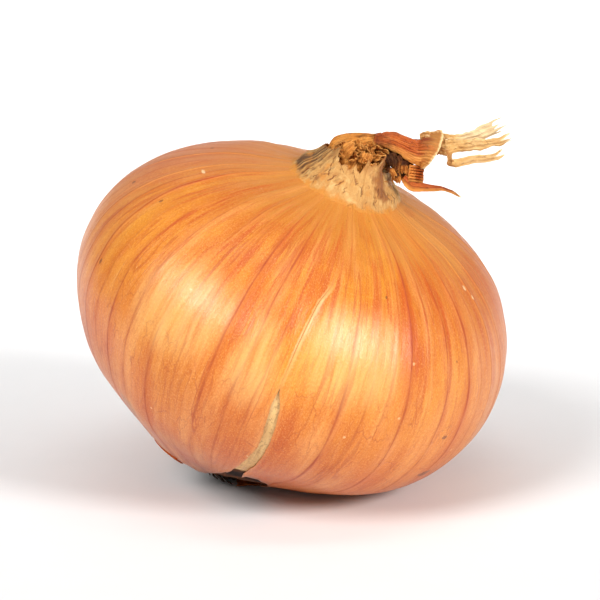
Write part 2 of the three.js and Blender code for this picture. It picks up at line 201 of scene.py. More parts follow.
def grid_of(rows, columns, start, end):
    """A grid of shares from 0 to 1, row by row, and one of angles from start to end, column by column."""
    return np.meshgrid(np.linspace(0, 1, rows), np.linspace(start, end, columns), indexing="ij")


def on_ring(radius, height, longitude):
    angle = np.radians(longitude)
    return np.stack([radius * np.sin(angle), -radius * np.cos(angle), height + 0 * angle], axis=-1)


def up_the_axis(height):
    return (height - ROOT_PLATE_REACH) / AXIS_LENGTH


def on_outline(outline, share, longitude, outward=0.0):
    radius, height = outline.at(share)
    out_r, out_z = outline.outward(share)
    return on_ring(radius + outward * out_r, height + outward * out_z, longitude)


# ---- meshes ----
def make_piece(name, vertices, faces, maps, values, slot, node):
    """A smooth-shaded mesh with UV maps given per face corner and values given per vertex."""
    mesh = bpy.data.meshes.new(name)
    mesh.from_pydata(vertices.tolist(), [], faces)
    corners = np.empty(len(mesh.loops), dtype=np.int64)
    mesh.loops.foreach_get("vertex_index", corners)
    for map_name, per_corner in maps.items():
        layer = mesh.uv_layers.new(name=map_name)
        layer.data.foreach_set("uv", per_corner.astype(np.float32).ravel())
    for value_name, per_vertex in values.items():
        layer = mesh.attributes.new(value_name, "FLOAT", "POINT")
        layer.data.foreach_set("value", per_vertex.astype(np.float32).ravel())
    mesh.shade_smooth()
    mesh.materials.append(finishes[slot])
    piece = bpy.data.objects.new(name, mesh)
    bpy.context.collection.objects.link(piece)
    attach(piece, "root")
    if node:
        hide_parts(node)
    return piece


def sheet_piece(name, face, back, maps, values, slot, node=None, closed_rows=None):
    """A thin closed sheet between two grids of points [row, column, xyz]. Rows listed as closed join
    their last column to their first. maps hold [row, column, 2] arrays, values [row, column] ones."""
    rows, columns = face.shape[:2]
    closed = np.zeros(rows, bool) if closed_rows is None else closed_rows
    index = np.arange(rows * columns).reshape(rows, columns)
    joined = index.copy()
    joined[closed, -1] = joined[closed, 0]
    under = joined + rows * columns
    quads, corners = [], []

    def add(corner_ids, grid_ids):
        quads.append(np.stack(corner_ids, axis=-1).reshape(-1, 4))
        corners.append(np.stack(grid_ids, axis=-1).reshape(-1, 4))

    first, later = slice(0, -1), slice(1, None)
    square = (first, first), (first, later), (later, later), (later, first)
    add([joined[s] for s in square], [index[s] for s in square])
    add([under[s] for s in square[::-1]], [index[s] for s in square[::-1]])
    for row, turn in ((0, 1), (-1, -1)):
        a, b = (first, later)[::turn]
        add([joined[row, b], joined[row, a], under[row, a], under[row, b]],
            [index[row, b], index[row, a], index[row, a], index[row, b]])
    open_spans = ~(closed[:-1] & closed[1:])
    for column, turn in ((0, 1), (-1, -1)):
        a, b = (first, later)[::turn]
        ids = [joined[a, column], joined[b, column], under[b, column], under[a, column]]
        grid = [index[a, column], index[b, column], index[b, column], index[a, column]]
        add([i[open_spans] for i in ids], [g[open_spans] for g in grid])
    quads, corners = np.vstack(quads), np.vstack(corners)
    used = np.unique(quads)
    renumber = np.zeros(2 * rows * columns, np.int64)
    renumber[used] = np.arange(len(used))
    vertices = np.concatenate([face.reshape(-1, 3), back.reshape(-1, 3)])[used]
    per_corner = {key: grid.reshape(-1, 2)[corners.ravel()] for key, grid in maps.items()}
    per_vertex = {key: np.tile(grid.ravel(), 2)[used] for key, grid in values.items()}
    return make_piece(name, vertices, renumber[quads].tolist(), per_corner, per_vertex, slot, node)


# ---- bulb and outer skin ----
def vein_list():
    """Veins from the split's right edge all the way round to its left edge, as rows of
    [low, shoulder, neck longitude, darkness, ridge]."""
    front = np.array(FRONT_VEINS, float)
    middle = int(np.argmin(np.abs(front[:, 1] - 4.9)))
    right, left = front[middle + 1:], front[:middle].copy()
    left[:, :3] += 360
    gap = left[0, 1] - right[-1, 1]
    count = round(gap / VEIN_SPACING)
    far = []
    for k in range(1, count):
        at = right[-1, 1] + gap * k / count + 2.2 * ripple(k * 3.7, seed=5.0)
        drift = 1.2 * ripple(k * 2.9, seed=9.0)
        dark = 0.6 + 0.6 * ripple(k * 5.3, seed=2.0)
        far.append([at - drift, at, at + drift, dark, max(0, 1.6 * ripple(k * 4.1, seed=7.0))])
    edge = front[middle]
    return np.vstack([edge, right, np.array(far, float).reshape(-1, 5), left, edge + [360, 360, 360, 0, 0]])


# Where the onion is fuller or flatter than round: [longitude, half width in degrees, height, half
# height, millimetres].
SWELLINGS = [
    (104, 42, 21, 8, 1.15), (92, 34, -2, 12, -0.35), (-85, 32, 6, 9, -0.35), (-80, 42, -14, 11, -0.9),
    (-140, 45, 20, 8, -0.3), (-46, 22, -24, 4, 0.5), (-40, 24, -27.7, 2.7, 1.6), (-16, 16, -30.5, 2, 0.7),
    (27, 21, -21, 8, -1.4),
]


def on_skin_map(longitude, share):
    return np.stack([longitude / DEGREES_A_UNIT, share * UNITS_ALONG], axis=-1)


def lie_of_skin(turn, share):
    """How far the skin swells from its outline: broad waves and slight facets, alike on the bulb."""
    broad = 0.34 * ripple(np.cos(turn) * 2.1, np.sin(turn) * 2.1, share * 2.6, seed=0.3)
    facets = 0.16 * ripple(np.cos(turn) * 6.5, np.sin(turn) * 6.5, share * 3.2, seed=0.9)
    swelling = broad * smoothstep(0.97, 0.85, share) + facets * smoothstep(1, 0.93, share)
    height = skin_outline.at(share)[1]
    for longitude, half_width, middle, half_height, amount in SWELLINGS:
        away = np.degrees(turn) - longitude
        away = (away + 180) % 360 - 180
        fading = (away / half_width) ** 2 + ((height - middle) / half_height) ** 2
        swelling = swelling + amount * np.exp(-fading)
    return swelling


def skin_phases(spans):
    """Where the skin's columns stand, counted in veins from the split's right edge round to its left
    one: close together along the split, and closest round each vein."""
    near_edge = [0, 0.012, 0.03, 0.055, 0.09, 0.14, 0.21, 0.3, 0.42, 0.56, 0.72, 0.87]
    fractions = [0, 0.07, 0.16, 0.3, 0.44, 0.56, 0.7, 0.84, 0.93]
    between = [i + f for i in range(1, spans - 1) for f in fractions]
    return np.array(near_edge + between + [spans - f for f in reversed(near_edge)])


def split_edges(radius, height):
    """Longitudes of the split's right edge and, a full turn on, of its left one, then half its width in
    degrees and its width in millimetres."""
    middle, width = (down(SPLIT, height, column) for column in (1, 2))
    ragged = 1 + 0.16 * ripple(height * 1.3, seed=8.0)
    half = np.degrees(width * ragged / 2 / radius)
    return middle + half, middle - half + 360, half, width


def between_veins(veins, phase, share, height, right_edge, left_edge):
    """Longitude of each of the skin's points and the degrees between the veins on both sides of it."""
    spans = len(veins) - 1
    low, mid, top = veins[:, 0], veins[:, 1], veins[:, 2]
    where = np.interp(height, [-30, 4, 24], [0, 1, 2])

    def vein_longitude(index):
        bend = np.where(where < 1, low[index] + (mid[index] - low[index]) * where,
                        mid[index] + (top[index] - mid[index]) * (where - 1))
        wander = 0.45 * ripple(share * 11, index * 3.3 + 0 * share, seed=1.0)
        return bend + wander * (index > 0) * (index < spans)

    cell = np.minimum(phase.astype(int), spans - 1)
    cells = np.broadcast_to(cell, share.shape)
    before = np.where(cells == 0, right_edge, vein_longitude(cells))
    after = np.where(cells == spans - 1, left_edge, vein_longitude(cells + 1))
    return before + (after - before) * (phase - cell), after - before


def outer_skin():
    """The split outer skin. Its columns follow the veins, so a vein's ridge and its colour lie on them."""
    veins = vein_list()
    spans = len(veins) - 1
    phase = skin_phases(spans)
    rows = np.linspace(0, 1, 108)
    guess = np.interp(phase, np.arange(spans + 1), veins[:, 1])
    torn = 0.7 * ripple(guess * 0.35, seed=3.0) + 0.4 * ripple(guess * 1.1, seed=4.0)
    start = skin_outline.share_of_radius(around(SKIN_RIM, guess) + torn)
    share = start[None, :] + (1 - start[None, :]) * rows[:, None]
    radius, height = skin_outline.at(share)
    right_edge, left_edge, half, split_width = split_edges(radius, height)
    longitude, gap = between_veins(veins, phase, share, height, right_edge, left_edge)
    turn = np.radians(longitude)

    nearest = np.rint(phase).astype(int)
    vein_distance = np.abs(phase - nearest) * gap
    fade = 0.55 + 0.75 * ripple(share * 3.1, nearest * 2.3 + 0 * share, seed=6.0)
    darkness = veins[nearest, 3] * np.clip(fade, 0.12, 1.2) * smoothstep(29, 22, height)
    ridge = veins[nearest, 4] * (smoothstep(-6, 8, height) * smoothstep(29, 24, height))
    to_edge = np.radians(np.minimum(longitude - right_edge, left_edge - longitude)) * radius
    from_split = np.where(phase[None, :] < spans / 2, to_edge, -to_edge)
    is_open = smoothstep(0, 0.6, split_width)
    lip = smoothstep(20, 16, height) * np.exp(-(to_edge / 0.42) ** 2)
    outward = lie_of_skin(turn, share)
    outward = outward + ridge * 0.12 * np.exp(-(vein_distance / 0.5) ** 2)
    outward = outward + 0.05 * darkness * np.exp(-(vein_distance / 0.7) ** 2)
    outward = outward + lip * (0.16 - 0.1 * is_open) * (1 + 0.7 * ripple(height * 1.1, seed=4.4))
    curl = smoothstep(0.05, 0, rows)[:, None] * (0.25 + 0.35 * ripple(longitude * 0.12, seed=7.7))
    outward = outward + curl

    face = placed(on_outline(skin_outline, share, longitude, outward))
    back = placed(on_outline(skin_outline, share, longitude, outward - PAPER), PAPER)
    maps = {
        "skin_map": on_skin_map(longitude, share),
        "vein_map": np.stack([np.broadcast_to(phase, share.shape), gap / DEGREES_A_UNIT], axis=-1),
    }
    values = {
        "darkness": darkness, "ridge": ridge, "from_split": np.clip(from_split, -4, 4),
        "rim": np.broadcast_to(smoothstep(0.035, 0, rows)[:, None], share.shape), "up": up_the_axis(height),
    }
    closed = (half < 1e-4).all(axis=1)
    return sheet_piece("outer_skin_paper", face, back, maps, values, "outer_skin", "outer_skin", closed)


def solid_piece(name, grid, maps, values, slot, node):
    """A closed solid of rings, [row, column, xyz], its first and last columns alike, capped to points."""
    rows, columns = grid.shape[0], grid.shape[1] - 1
    index = np.arange(rows * columns).reshape(rows, columns)
    after = np.roll(index, -1, axis=1)
    low_end, high_end = rows * columns, rows * columns + 1
    quads = np.stack([index[:-1], after[:-1], after[1:], index[1:]], axis=-1).reshape(-1, 4).tolist()
    fans = [[after[0, j], index[0, j], low_end] for j in range(columns)]
    fans += [[index[-1, j], after[-1, j], high_end] for j in range(columns)]
    ends = np.stack([grid[0, :-1].mean(axis=0), grid[-1, :-1].mean(axis=0)])
    vertices = np.vstack([grid[:, :-1].reshape(-1, 3), ends])
    spread = np.arange(rows * (columns + 1)).reshape(rows, columns + 1)
    corner_quads = np.stack([spread[:-1, :-1], spread[:-1, 1:], spread[1:, 1:], spread[1:, :-1]], axis=-1)
    corner_ids = corner_quads.reshape(-1).tolist()
    for j in range(columns):
        corner_ids += [spread[0, j + 1], spread[0, j], spread[0, j]]
    for j in range(columns):
        corner_ids += [spread[-1, j], spread[-1, j + 1], spread[-1, j]]
    per_corner = {key: values_.reshape(-1, 2)[corner_ids] for key, values_ in maps.items()}
    per_vertex = {key: np.concatenate([v[:, :-1].ravel(), [v[0].mean(), v[-1].mean()]])
                  for key, v in values.items()}
    return make_piece(name, vertices, quads + fans, per_corner, per_vertex, slot, node)


def bulb():
    """The bulb in its pale inner skin, which shows through the split and round the roots."""
    share, longitude = grid_of(120, 361, 0, 360)
    turn = np.radians(longitude)
    grain = 0.03 * ripple(np.cos(turn) * 30, np.sin(turn) * 30, share * 14, seed=1.1)
    outward = lie_of_skin(turn, share) + grain - PAPER - 0.08
    face = placed(on_outline(skin_outline, share, longitude, outward), PAPER + 0.08)
    _, height = skin_outline.at(share)
    maps = {"skin_map": on_skin_map(longitude, share)}
    return solid_piece("bulb_inner_skin", face, maps, {"up": up_the_axis(height)}, "inner_skin", "bulb")


# ---- collar ----
def collar_cracks():
    """Splits along the collar: [longitude at the foot, at the head, height of the foot, of the head,
    wander in degrees]."""
    cracks = [
        (-25, -37, 29.6, 33, 3), (18, -6, 29.8, 32.8, 4), (66, 52, 28.3, 31.2, 4), (41, 36, 28.2, 29.6, 3),
    ]
    chance = np.random.default_rng(4)
    for foot in np.arange(-64, 90, 10.5):
        start = chance.uniform(27.9, 30.2)
        cracks.append((foot, foot + chance.uniform(-7, 7), start, start + chance.uniform(0.7, 1.8), 3))
    return cracks


def neck_collar():
    """The bleached, torn collar. Its hem lies flat on the skin; its free rim is creased and jagged."""
    outline = Outline(COLLAR_OUTLINE)
    relative, longitude = grid_of(72, 481, -180, 180)
    turn = np.radians(longitude)

    def waves(size, fineness, seed, *along):
        return size * ripple(np.cos(turn) * fineness, np.sin(turn) * fineness, *along, seed=seed)

    def beside(middle, half_width):
        return np.exp(-((longitude - middle) / half_width) ** 2)

    teeth = waves(0.3, 12, 1.3) + waves(0.25, 27, 2.6)
    rim = outline.share_of_height(around(COLLAR_RIM, longitude[0]) + teeth[0])
    tongues = 0.05 * (1 + waves(1, 7, 3.1) + waves(0.6, 22, 4.2))
    drawn_up = 0.12 * beside(82, 28)
    hem = np.clip(0.07 + tongues[0] + drawn_up[0], 0, 0.3)
    share = hem[None, :] + relative * (rim - hem)[None, :]
    radius, height = outline.at(share)
    folds = waves(0.5, 2.6, 3.9, share * 1.2)
    wrinkles = waves(0.2, 7, 5.2, share * 2.4)
    creases = waves(0.1, 15, 6.1, share * 6.5)
    tuck = -0.9 * beside(60, 15) - 0.7 * beside(-100, 48)
    tuck = tuck * smoothstep(28.0, 29.8, height)
    tuck = tuck - 1.25 * beside(94, 25) * smoothstep(27.4, 29.5, height)
    curl = 0.8 * smoothstep(0.72, 1, relative) ** 2 * (0.3 + waves(1, 5, 7.3)) * beside(10, 52)
    crack = 0 * share
    for low, high, start, end, wander in collar_cracks():
        along = np.clip((height - start) / (end - start), 0, 1)
        wobble = wander * ripple(height * 1.7, seed=low) + 0.5 * wander * ripple(height * 5, seed=high)
        half_width = 1.1 + 0.5 * ripple(height * 3, seed=start)
        away = np.abs(longitude - (low + (high - low) * along + wobble)) / half_width
        ends = smoothstep(start - 0.1, start + 0.4, height) * smoothstep(end + 0.1, end - 0.4, height)
        crack = np.maximum(crack, np.exp(-away ** 2) * ends)
    free = smoothstep(28.4, 31, height)
    outward = (folds + wrinkles + curl + tuck) * free + creases * smoothstep(27, 28.5, height) - 0.12 * crack
    outward = np.maximum(outward, -COLLAR_ROOM)
    off_skin = smoothstep(27.0, 28.9, height)[..., None]
    skin_share = skin_outline.share_of_neck_radius(radius)
    sunk = 0.26 * smoothstep(0.14, 0, relative - waves(0.02, 30, 8.8))
    on_skin = lie_of_skin(turn, skin_share) + 0.09 - sunk
    thick = PAPER * (0.12 + 0.88 * smoothstep(27, 28.8, height))

    def surface(inwards):
        free_part = on_outline(outline, share, longitude, outward - inwards * thick)
        flat_part = on_outline(skin_outline, skin_share, longitude, on_skin - inwards * 0.03)
        return placed(flat_part + (free_part - flat_part) * off_skin)

    maps = {"leaf_map": np.stack([longitude / 9, share * 11], axis=-1),
            "leaf_share": np.stack([(longitude + 180) / 360, relative], axis=-1)}
    # shade marks the tucked fold on the collar's right, where painted shade darkens it
    values = {"rim": smoothstep(0.93, 1, relative), "skirt": smoothstep(28.8, 27.1, height), "crack": crack,
              "smudge": beside(-74, 24) * smoothstep(26.9, 28.6, height),
              "shade": beside(50, 17) * smoothstep(27.6, 29.4, height), "tone": 0 * share}
    return sheet_piece("neck_collar_torn", surface(0), surface(1), maps, values, "collar_skin", "neck_collar",
                       np.ones(len(share), bool))


# ---- dead leaves ----
def through_stations(stations, share):
    """Position, width, facing direction and cup of a leaf, smoothly through its stations."""
    rows = np.array([[*place, width, *faces, cup] for place, width, faces, cup in stations], float)
    dense = smooth_rows(rows)
    at = np.linspace(0, 1, len(dense))
    return np.stack([np.interp(share, at, column) for column in dense.T], axis=-1)


def smooth_rows(rows, per_span=24):
    """Uniform Catmull-Rom through rows of any numbers."""
    padded = np.vstack([2 * rows[0] - rows[1], rows, 2 * rows[-1] - rows[-2]])
    steps = np.linspace(0, 1, per_span, endpoint=False)[:, None]
    spans = []
    for a, b, c, d in zip(padded, padded[1:], padded[2:], padded[3:]):
        start, end = (c - a) / 2, (d - b) / 2
        spans.append(b + start * steps + (3 * (c - b) - 2 * start - end) * steps ** 2
                     + (2 * (b - c) + start + end) * steps ** 3)
    return np.vstack(spans + [rows[-1:]])


def unit(vectors):
    return vectors / np.maximum(np.linalg.norm(vectors, axis=-1, keepdims=True), 1e-9)


def leaf_directions(stations, rows, share, faces, end_along):
    """Directions across the leaf and out of its face."""
    nudge = 1e-3
    ahead, behind = (through_stations(stations, np.clip(share + step, 0, 1))[..., :3]
                     for step in (nudge, -nudge))
    along = unit(ahead - behind)
    if end_along:
        turned = smoothstep(0.6, 0.95, rows)[..., None]
        along = unit(along * (1 - turned) + np.array(end_along) * turned)
    side = unit(np.cross(along, faces))
    return side, np.cross(side, along)


def leaf_relief(side_share, share, across_mm, along_mm, ribs, rib_depth, crumple, seed):
    """Ribs that wander along the leaf, fine ribs between them and crumples large and small."""
    relief = rib_depth * np.cos(side_share * ribs * math.pi + 1.5 * ripple(share * 2.5, seed=seed + 5))
    relief = relief + rib_depth * ripple(across_mm * 3.0, along_mm * 0.35, seed=seed + 6)
    relief = relief + crumple * ripple(across_mm * 0.55, along_mm * 0.5, seed=seed + 7)
    return relief + 0.5 * crumple * ripple(across_mm * 1.3, along_mm * 1.2, seed=seed + 8)


def leaf(name, stations, slot, node=None, *, steps, across, ribs, rib_depth, crumple, ragged, seed,
         tear_start=0.0, tear_end=0.1, teeth=3.0, tip=None, flare=0.0, tone=0.0, end_along=None,
         pale_end=0.0):
    """A dry leaf through stations, each its place, its width, the direction it faces and how many degrees
    it is cupped: ribbed along its length, crumpled, with ragged sides and torn ends. tip is a function of
    the place across that shortens the end; flare turns the end outwards; tone, from 0 to 1, a number or
    a function of the place along it, is how browned it is, and from 0.9 up it is painted near-black shade;
    pale_end, from 0 to 1, bleaches its second half; end_along is the direction that its last third bends to."""
    side_share = np.linspace(-1, 1, across + 1)[None, :]
    rows = np.linspace(0, 1, steps + 1)[:, None]
    tear = lambda share, which: share * (0.5 + 0.5 * ripple(side_share * teeth, seed=seed + which))
    begin = tear(tear_start, 11.0)
    finish = 1 - tear(tear_end, 17.0)
    if tip:
        finish = finish - tip(side_share)
    share = begin + (finish - begin) * rows
    table = through_stations(stations, share)
    middle, width, faces, cup = table[..., :3], table[..., 3], table[..., 4:7], table[..., 7]
    side, out = leaf_directions(stations, rows, share, faces, end_along)
    half = np.radians(np.maximum(cup, 2)) / 2
    edge = 1 + ragged * ripple(share * 9, np.sign(side_share) * 3 + 0 * share, seed=seed + 3)
    edge = edge + 0.5 * ragged * ripple(share * 26, np.sign(side_share) * 3 + 0 * share, seed=seed + 4)
    place_across = side_share * edge
    bend = width / 2 / half
    angle = place_across * half
    across_mm, along_mm = place_across * width / 2, share * route_length(stations)
    relief = leaf_relief(side_share, share, across_mm, along_mm, ribs, rib_depth, crumple, seed)
    relief = relief + flare * smoothstep(0.84, 1, rows) ** 2
    reach = bend + relief
    normal = side * np.sin(angle)[..., None] + out * np.cos(angle)[..., None]
    face = middle + normal * reach[..., None] - out * bend[..., None]
    back = face - normal * PAPER
    maps = {"leaf_map": np.stack([across_mm, along_mm], axis=-1),
            "leaf_share": np.stack([side_share / 2 + 0.5 + 0 * share, 0 * side_share + rows], axis=-1)}
    rim = np.maximum(smoothstep(0.86, 1, np.abs(side_share)), smoothstep(0.93, 1, rows))
    rim = np.maximum(rim, pale_end * smoothstep(0.35, 0.7, rows))
    browned = tone(rows) if callable(tone) else tone
    values = {"rim": rim + 0 * share, "tone": browned + 0 * share}
    return sheet_piece(name, placed(face), placed(back), maps, values, slot, node)


def route_length(stations):
    points = np.array([place for place, *_ in stations], float)
    return float(np.linalg.norm(np.diff(points, axis=0), axis=1).sum())


FRONT = (0, -1, 0)
# Rings of the hood: the upper-left and the lower-right ends of each, [x, height], and its depth.
HOOD_RINGS = [
    ((-5.5, 31.2), (4.9, 31.0), 5.2), ((-5.6, 32.6), (4.9, 32.2), 5.2), ((-5.3, 33.7), (4.6, 33.1), 5.0),
    ((-4.45, 34.6), (4.2, 33.9), 4.5), ((-2.95, 35.6), (3.9, 34.6), 3.7), ((-1.1, 36.55), (3.8, 35.2), 2.8),
    ((0.5, 37.2), (3.9, 35.8), 2.0), ((2.0, 38.1), (4.6, 36.3), 1.3),
]


def hood_point(share, turn, outwards=0.0):
    """A point of the hood's surface: turn 0 is its upper-left outline, 90 degrees its front."""
    rows = smooth_rows(np.array([[*high, *low, depth] for high, low, depth in HOOD_RINGS], float))
    at = np.linspace(0, 1, len(rows))
    high_x, high_z, low_x, low_z, depth = (np.interp(share, at, column) for column in rows.T)
    middle_x, middle_z = (high_x + low_x) / 2, (high_z + low_z) / 2
    half_x, half_z = (high_x - low_x) / 2, (high_z - low_z) / 2
    grow = 1 + outwards / np.hypot(half_x, half_z)
    dent = 1 - 0.24 * np.exp(-((np.degrees(turn) - 108) / 34) ** 2 - ((share - 0.5) / 0.2) ** 2)
    reach = np.cos(turn) * grow
    return np.stack([middle_x + half_x * reach, 0.3 - (depth + outwards) * np.sin(turn) * dent,
                     middle_z + half_z * reach], axis=-1)


def neck_sheath():
    """The bundle of dead inner leaves: a fibrous hood that fills the collar and bends over."""
    share, turn = grid_of(120, 241, 0, 2 * math.pi)
    spiral = turn + 0.35 * share
    strands = 0.4 * ripple(np.cos(spiral) * 4, np.sin(spiral) * 4, share * 2.2, seed=2.8)
    fibres = 0.15 * ripple(np.cos(spiral) * 11, np.sin(spiral) * 11, share * 2.2, seed=1.9)
    fine = 0.08 * ripple(np.cos(spiral) * 26, np.sin(spiral) * 26, share * 6, seed=3.7)
    front = np.exp(-((np.degrees(turn) - 100) / 40) ** 2)
    front = front * smoothstep(0.15, 0.3, share) * smoothstep(0.85, 0.6, share)
    rags = 0.5 * front * ripple(np.cos(turn) * 14, share * 13, seed=5.1)
    points = hood_point(share, turn, (strands + fibres + fine) * smoothstep(0, 0.12, share) + rags)
    maps = {"leaf_map": np.stack([turn * 4.2, share * 11], axis=-1),
            "leaf_share": np.stack([turn / (2 * math.pi), share], axis=-1)}
    tone = np.clip(np.maximum(1.1 * front, smoothstep(0.75, 0.95, share)), 0, 0.88)
    return solid_piece("neck_sheath_fibrous", placed(points), maps, {"rim": 0 * share, "tone": tone},
                       "neck_tissue", "neck_sheath")


def bent_leaf():
    return leaf("bent_leaf_bell", [
        ((0.6, -1.5, 37.0), 3.4, (-0.3, -1, 0.3), 180),
        ((2.2, -1.9, 37.4), 4.6, (-0.1, -1, 0.1), 205),
        ((3.9, -2.2, 37.9), 5.6, FRONT, 215),
        ((5.7, -2.4, 38.0), 6.2, FRONT, 215),
        ((7.5, -2.6, 37.9), 7.4, FRONT, 218),
        ((9.3, -3.0, 38.1), 9.6, FRONT, 220),
        ((10.8, -3.4, 38.9), 12.2, FRONT, 215),
        ((12.3, -3.7, 39.2), 13.2, FRONT, 205),
    ], "brown_leaf", "bent_leaf", steps=130, across=110, ribs=19, rib_depth=0.06, crumple=0.24, ragged=0.04,
        tear_start=0.08, tear_end=0.03, teeth=4, flare=0.2, end_along=(0.93, 0.3, -0.15), seed=21.0)


def straw_leaf_front():
    fork = lambda side: 0.07 * np.exp(-((side + 0.15) / 0.25) ** 2)
    return leaf("straw_leaf_front_blade", [
        ((9.8, -1.5, 39.8), 4.0, FRONT, 110),
        ((11.6, -1.9, 40.6), 3.8, FRONT, 90),
        ((13.4, -2.1, 41.2), 3.1, (0, -1, 0.2), 70),
        ((15.8, -1.9, 42.5), 2.6, (0, -1, 0.1), 60),
        ((18.2, -1.6, 43.9), 2.2, (0, -1, 0.3), 60),
        ((20.9, -1.3, 45.4), 1.8, (0, -1, -0.1), 70),
        ((23.9, -0.9, 48.1), 1.4, (0, -1, 0.3), 40),
    ], "straw_leaf", "straw_leaf_front", steps=120, across=30, ribs=3, rib_depth=0.06, crumple=0.5,
        ragged=0.36, tear_end=0.08, tip=fork, pale_end=0.4,
        tone=lambda along: 0.4 * smoothstep(0.5, 0.25, along), seed=31.0)


def straw_leaf_back():
    frayed = lambda side: 0.1 * np.abs(np.sin(side * 5.2 + 0.6)) ** 0.7 - 0.02
    return leaf("straw_leaf_back_blade", [
        ((8.5, -0.7, 40.6), 1.5, FRONT, 60),
        ((10.2, -0.8, 41.6), 2.2, FRONT, 60),
        ((12.2, -0.9, 42.2), 2.1, (0, -1, 0.2), 50),
        ((14.6, -0.8, 43.1), 1.7, (0, -1, 0.2), 50),
        ((16.6, -0.6, 44.3), 1.9, (0.1, -1, 0), 40),
        ((18.8, -0.4, 46.5), 2.5, (0.2, -1, 0.2), 50),
        ((21.5, -0.3, 49.8), 2.6, (0, -1, -0.2), 30),
    ], "straw_leaf", "straw_leaf_back", steps=120, across=32, ribs=3, rib_depth=0.06, crumple=0.42,
        ragged=0.3, tear_end=0.1, teeth=5, tip=frayed, pale_end=0.85,
        tone=lambda along: 0.7 * smoothstep(0.5, 0.25, along), seed=41.0)


def curled_strip():
    two_tines = lambda side: 0.11 * np.exp(-((side - 0.1) / 0.4) ** 2)
    return leaf("curled_strip_torn", [
        ((12.7, -2.1, 40.6), 0.8, (0.3, -1, 0), 60),
        ((14.1, -2.2, 40.5), 0.9, (0.6, -0.8, 0.3), 60),
        ((14.9, -2.35, 39.6), 1.2, (0.8, -0.8, 0.1), 80),
        ((15.4, -2.5, 38.9), 1.8, (0.2, -1, -0.4), 110),
        ((16.4, -2.5, 39.7), 1.6, (-0.3, -1, 0.3), 80),
        ((18.4, -2.4, 41.2), 1.4, (0, -1, 0.3), 60),
        ((20.4, -2.1, 42.2), 1.4, (0, -1, 0.1), 60),
        ((22.0, -1.9, 43.4), 1.4, FRONT, 40),
        ((23.1, -1.8, 44.8), 1.4, FRONT, 20),
    ], "straw_leaf", "curled_strip", steps=120, across=16, ribs=2, rib_depth=0.05, crumple=0.2, ragged=0.26,
        tear_end=0.05, tip=two_tines, pale_end=0.45,
        tone=lambda along: 0.75 * smoothstep(0.5, 0.34, along), seed=51.0)


def pleated_fold():
    pleats = 6
    stations = []
    for i in range(2 * pleats + 1):
        share = i / (2 * pleats)
        forwards, width = (0.26, 2.8) if i % 2 else (-0.26, 2.4)
        stations.append(((10.0 + 0.9 * share, -1.9 - forwards, 36.0 - 3.0 * share), width, FRONT, 40))
    # tone browns the set-back pleats and leaves the forward ones light: painted shade in the folds
    return leaf("pleated_fold_leaf", stations, "brown_leaf", "pleated_fold", steps=132, across=24, ribs=3,
                rib_depth=0.03, crumple=0.08, ragged=0.1, tear_end=0.03,
                tone=lambda along: 0.3 + 0.55 * np.cos(2 * math.pi * pleats * along), seed=61.0)


def pointed_shred():
    return leaf("pointed_shred_leaf", [
        ((8.6, -1.9, 32.9), 1.2, FRONT, 60),
        ((10.6, -2.1, 32.2), 2.0, (0, -1, 0.2), 60),
        ((12.4, -2.3, 32.8), 1.5, (0, -1, 0.2), 80),
        ((14.2, -2.5, 33.5), 1.1, (0, -1, 0.1), 80),
        ((15.6, -2.6, 34.1), 0.8, (0, -1, 0.3), 70),
        ((17.4, -2.6, 34.3), 0.6, (0, -1, 0.3), 60),
        ((19.3, -2.5, 34.0), 0.2, FRONT, 40),
    ], "brown_leaf", "pointed_shred", steps=90, across=14, ribs=2, rib_depth=0.05, crumple=0.14, ragged=0.12,
        tear_end=0.0, seed=71.0)


def torn_flakes():
    """The flakes that the part holds."""
    flakes = [
        ("torn_flake_1", [
            ((-2.9, -4.3, 33.1), 2.9, (-0.5, -1, 0.1), 40),
            ((-2.5, -4.5, 34.7), 2.7, (-0.4, -1, 0.3), 50),
            ((-1.5, -4.0, 36.3), 1.6, (-0.3, -1, 0.8), 30),
        ]),
        ("torn_flake_2", [
            ((1.2, -4.9, 33.1), 2.2, (0.3, -1, 0.1), 40),
            ((1.3, -5.0, 34.5), 2.6, (0.2, -1, 0.3), 60),
            ((1.3, -4.3, 35.8), 1.5, (0.1, -1, 0.6), 30),
        ]),
        ("torn_flake_3", [
            ((6.9, -1.9, 34.1), 1.9, FRONT, 70),
            ((7.4, -2.2, 32.9), 2.1, (0.2, -1, 0.1), 80),
            ((8.1, -1.8, 31.0), 1.3, (0.3, -1, 0), 40),
        ]),
        ("torn_flake_4", [
            ((8.7, -0.7, 34.0), 2.1, FRONT, 60),
            ((9.1, -1.0, 32.8), 2.2, (0.2, -1, 0), 80),
            ((9.5, -0.7, 31.4), 1.3, FRONT, 40),
        ]),
    ]
    for i, (node, stations) in enumerate(flakes):
        leaf(node + "_torn", stations, "neck_tissue", node, steps=40, across=18, ribs=3, rib_depth=0.05,
             crumple=0.25, ragged=0.2, tear_start=0.1, tear_end=0.3, teeth=3.5, tone=0.3 + 0.15 * i,
             seed=80.0 + 7 * i)


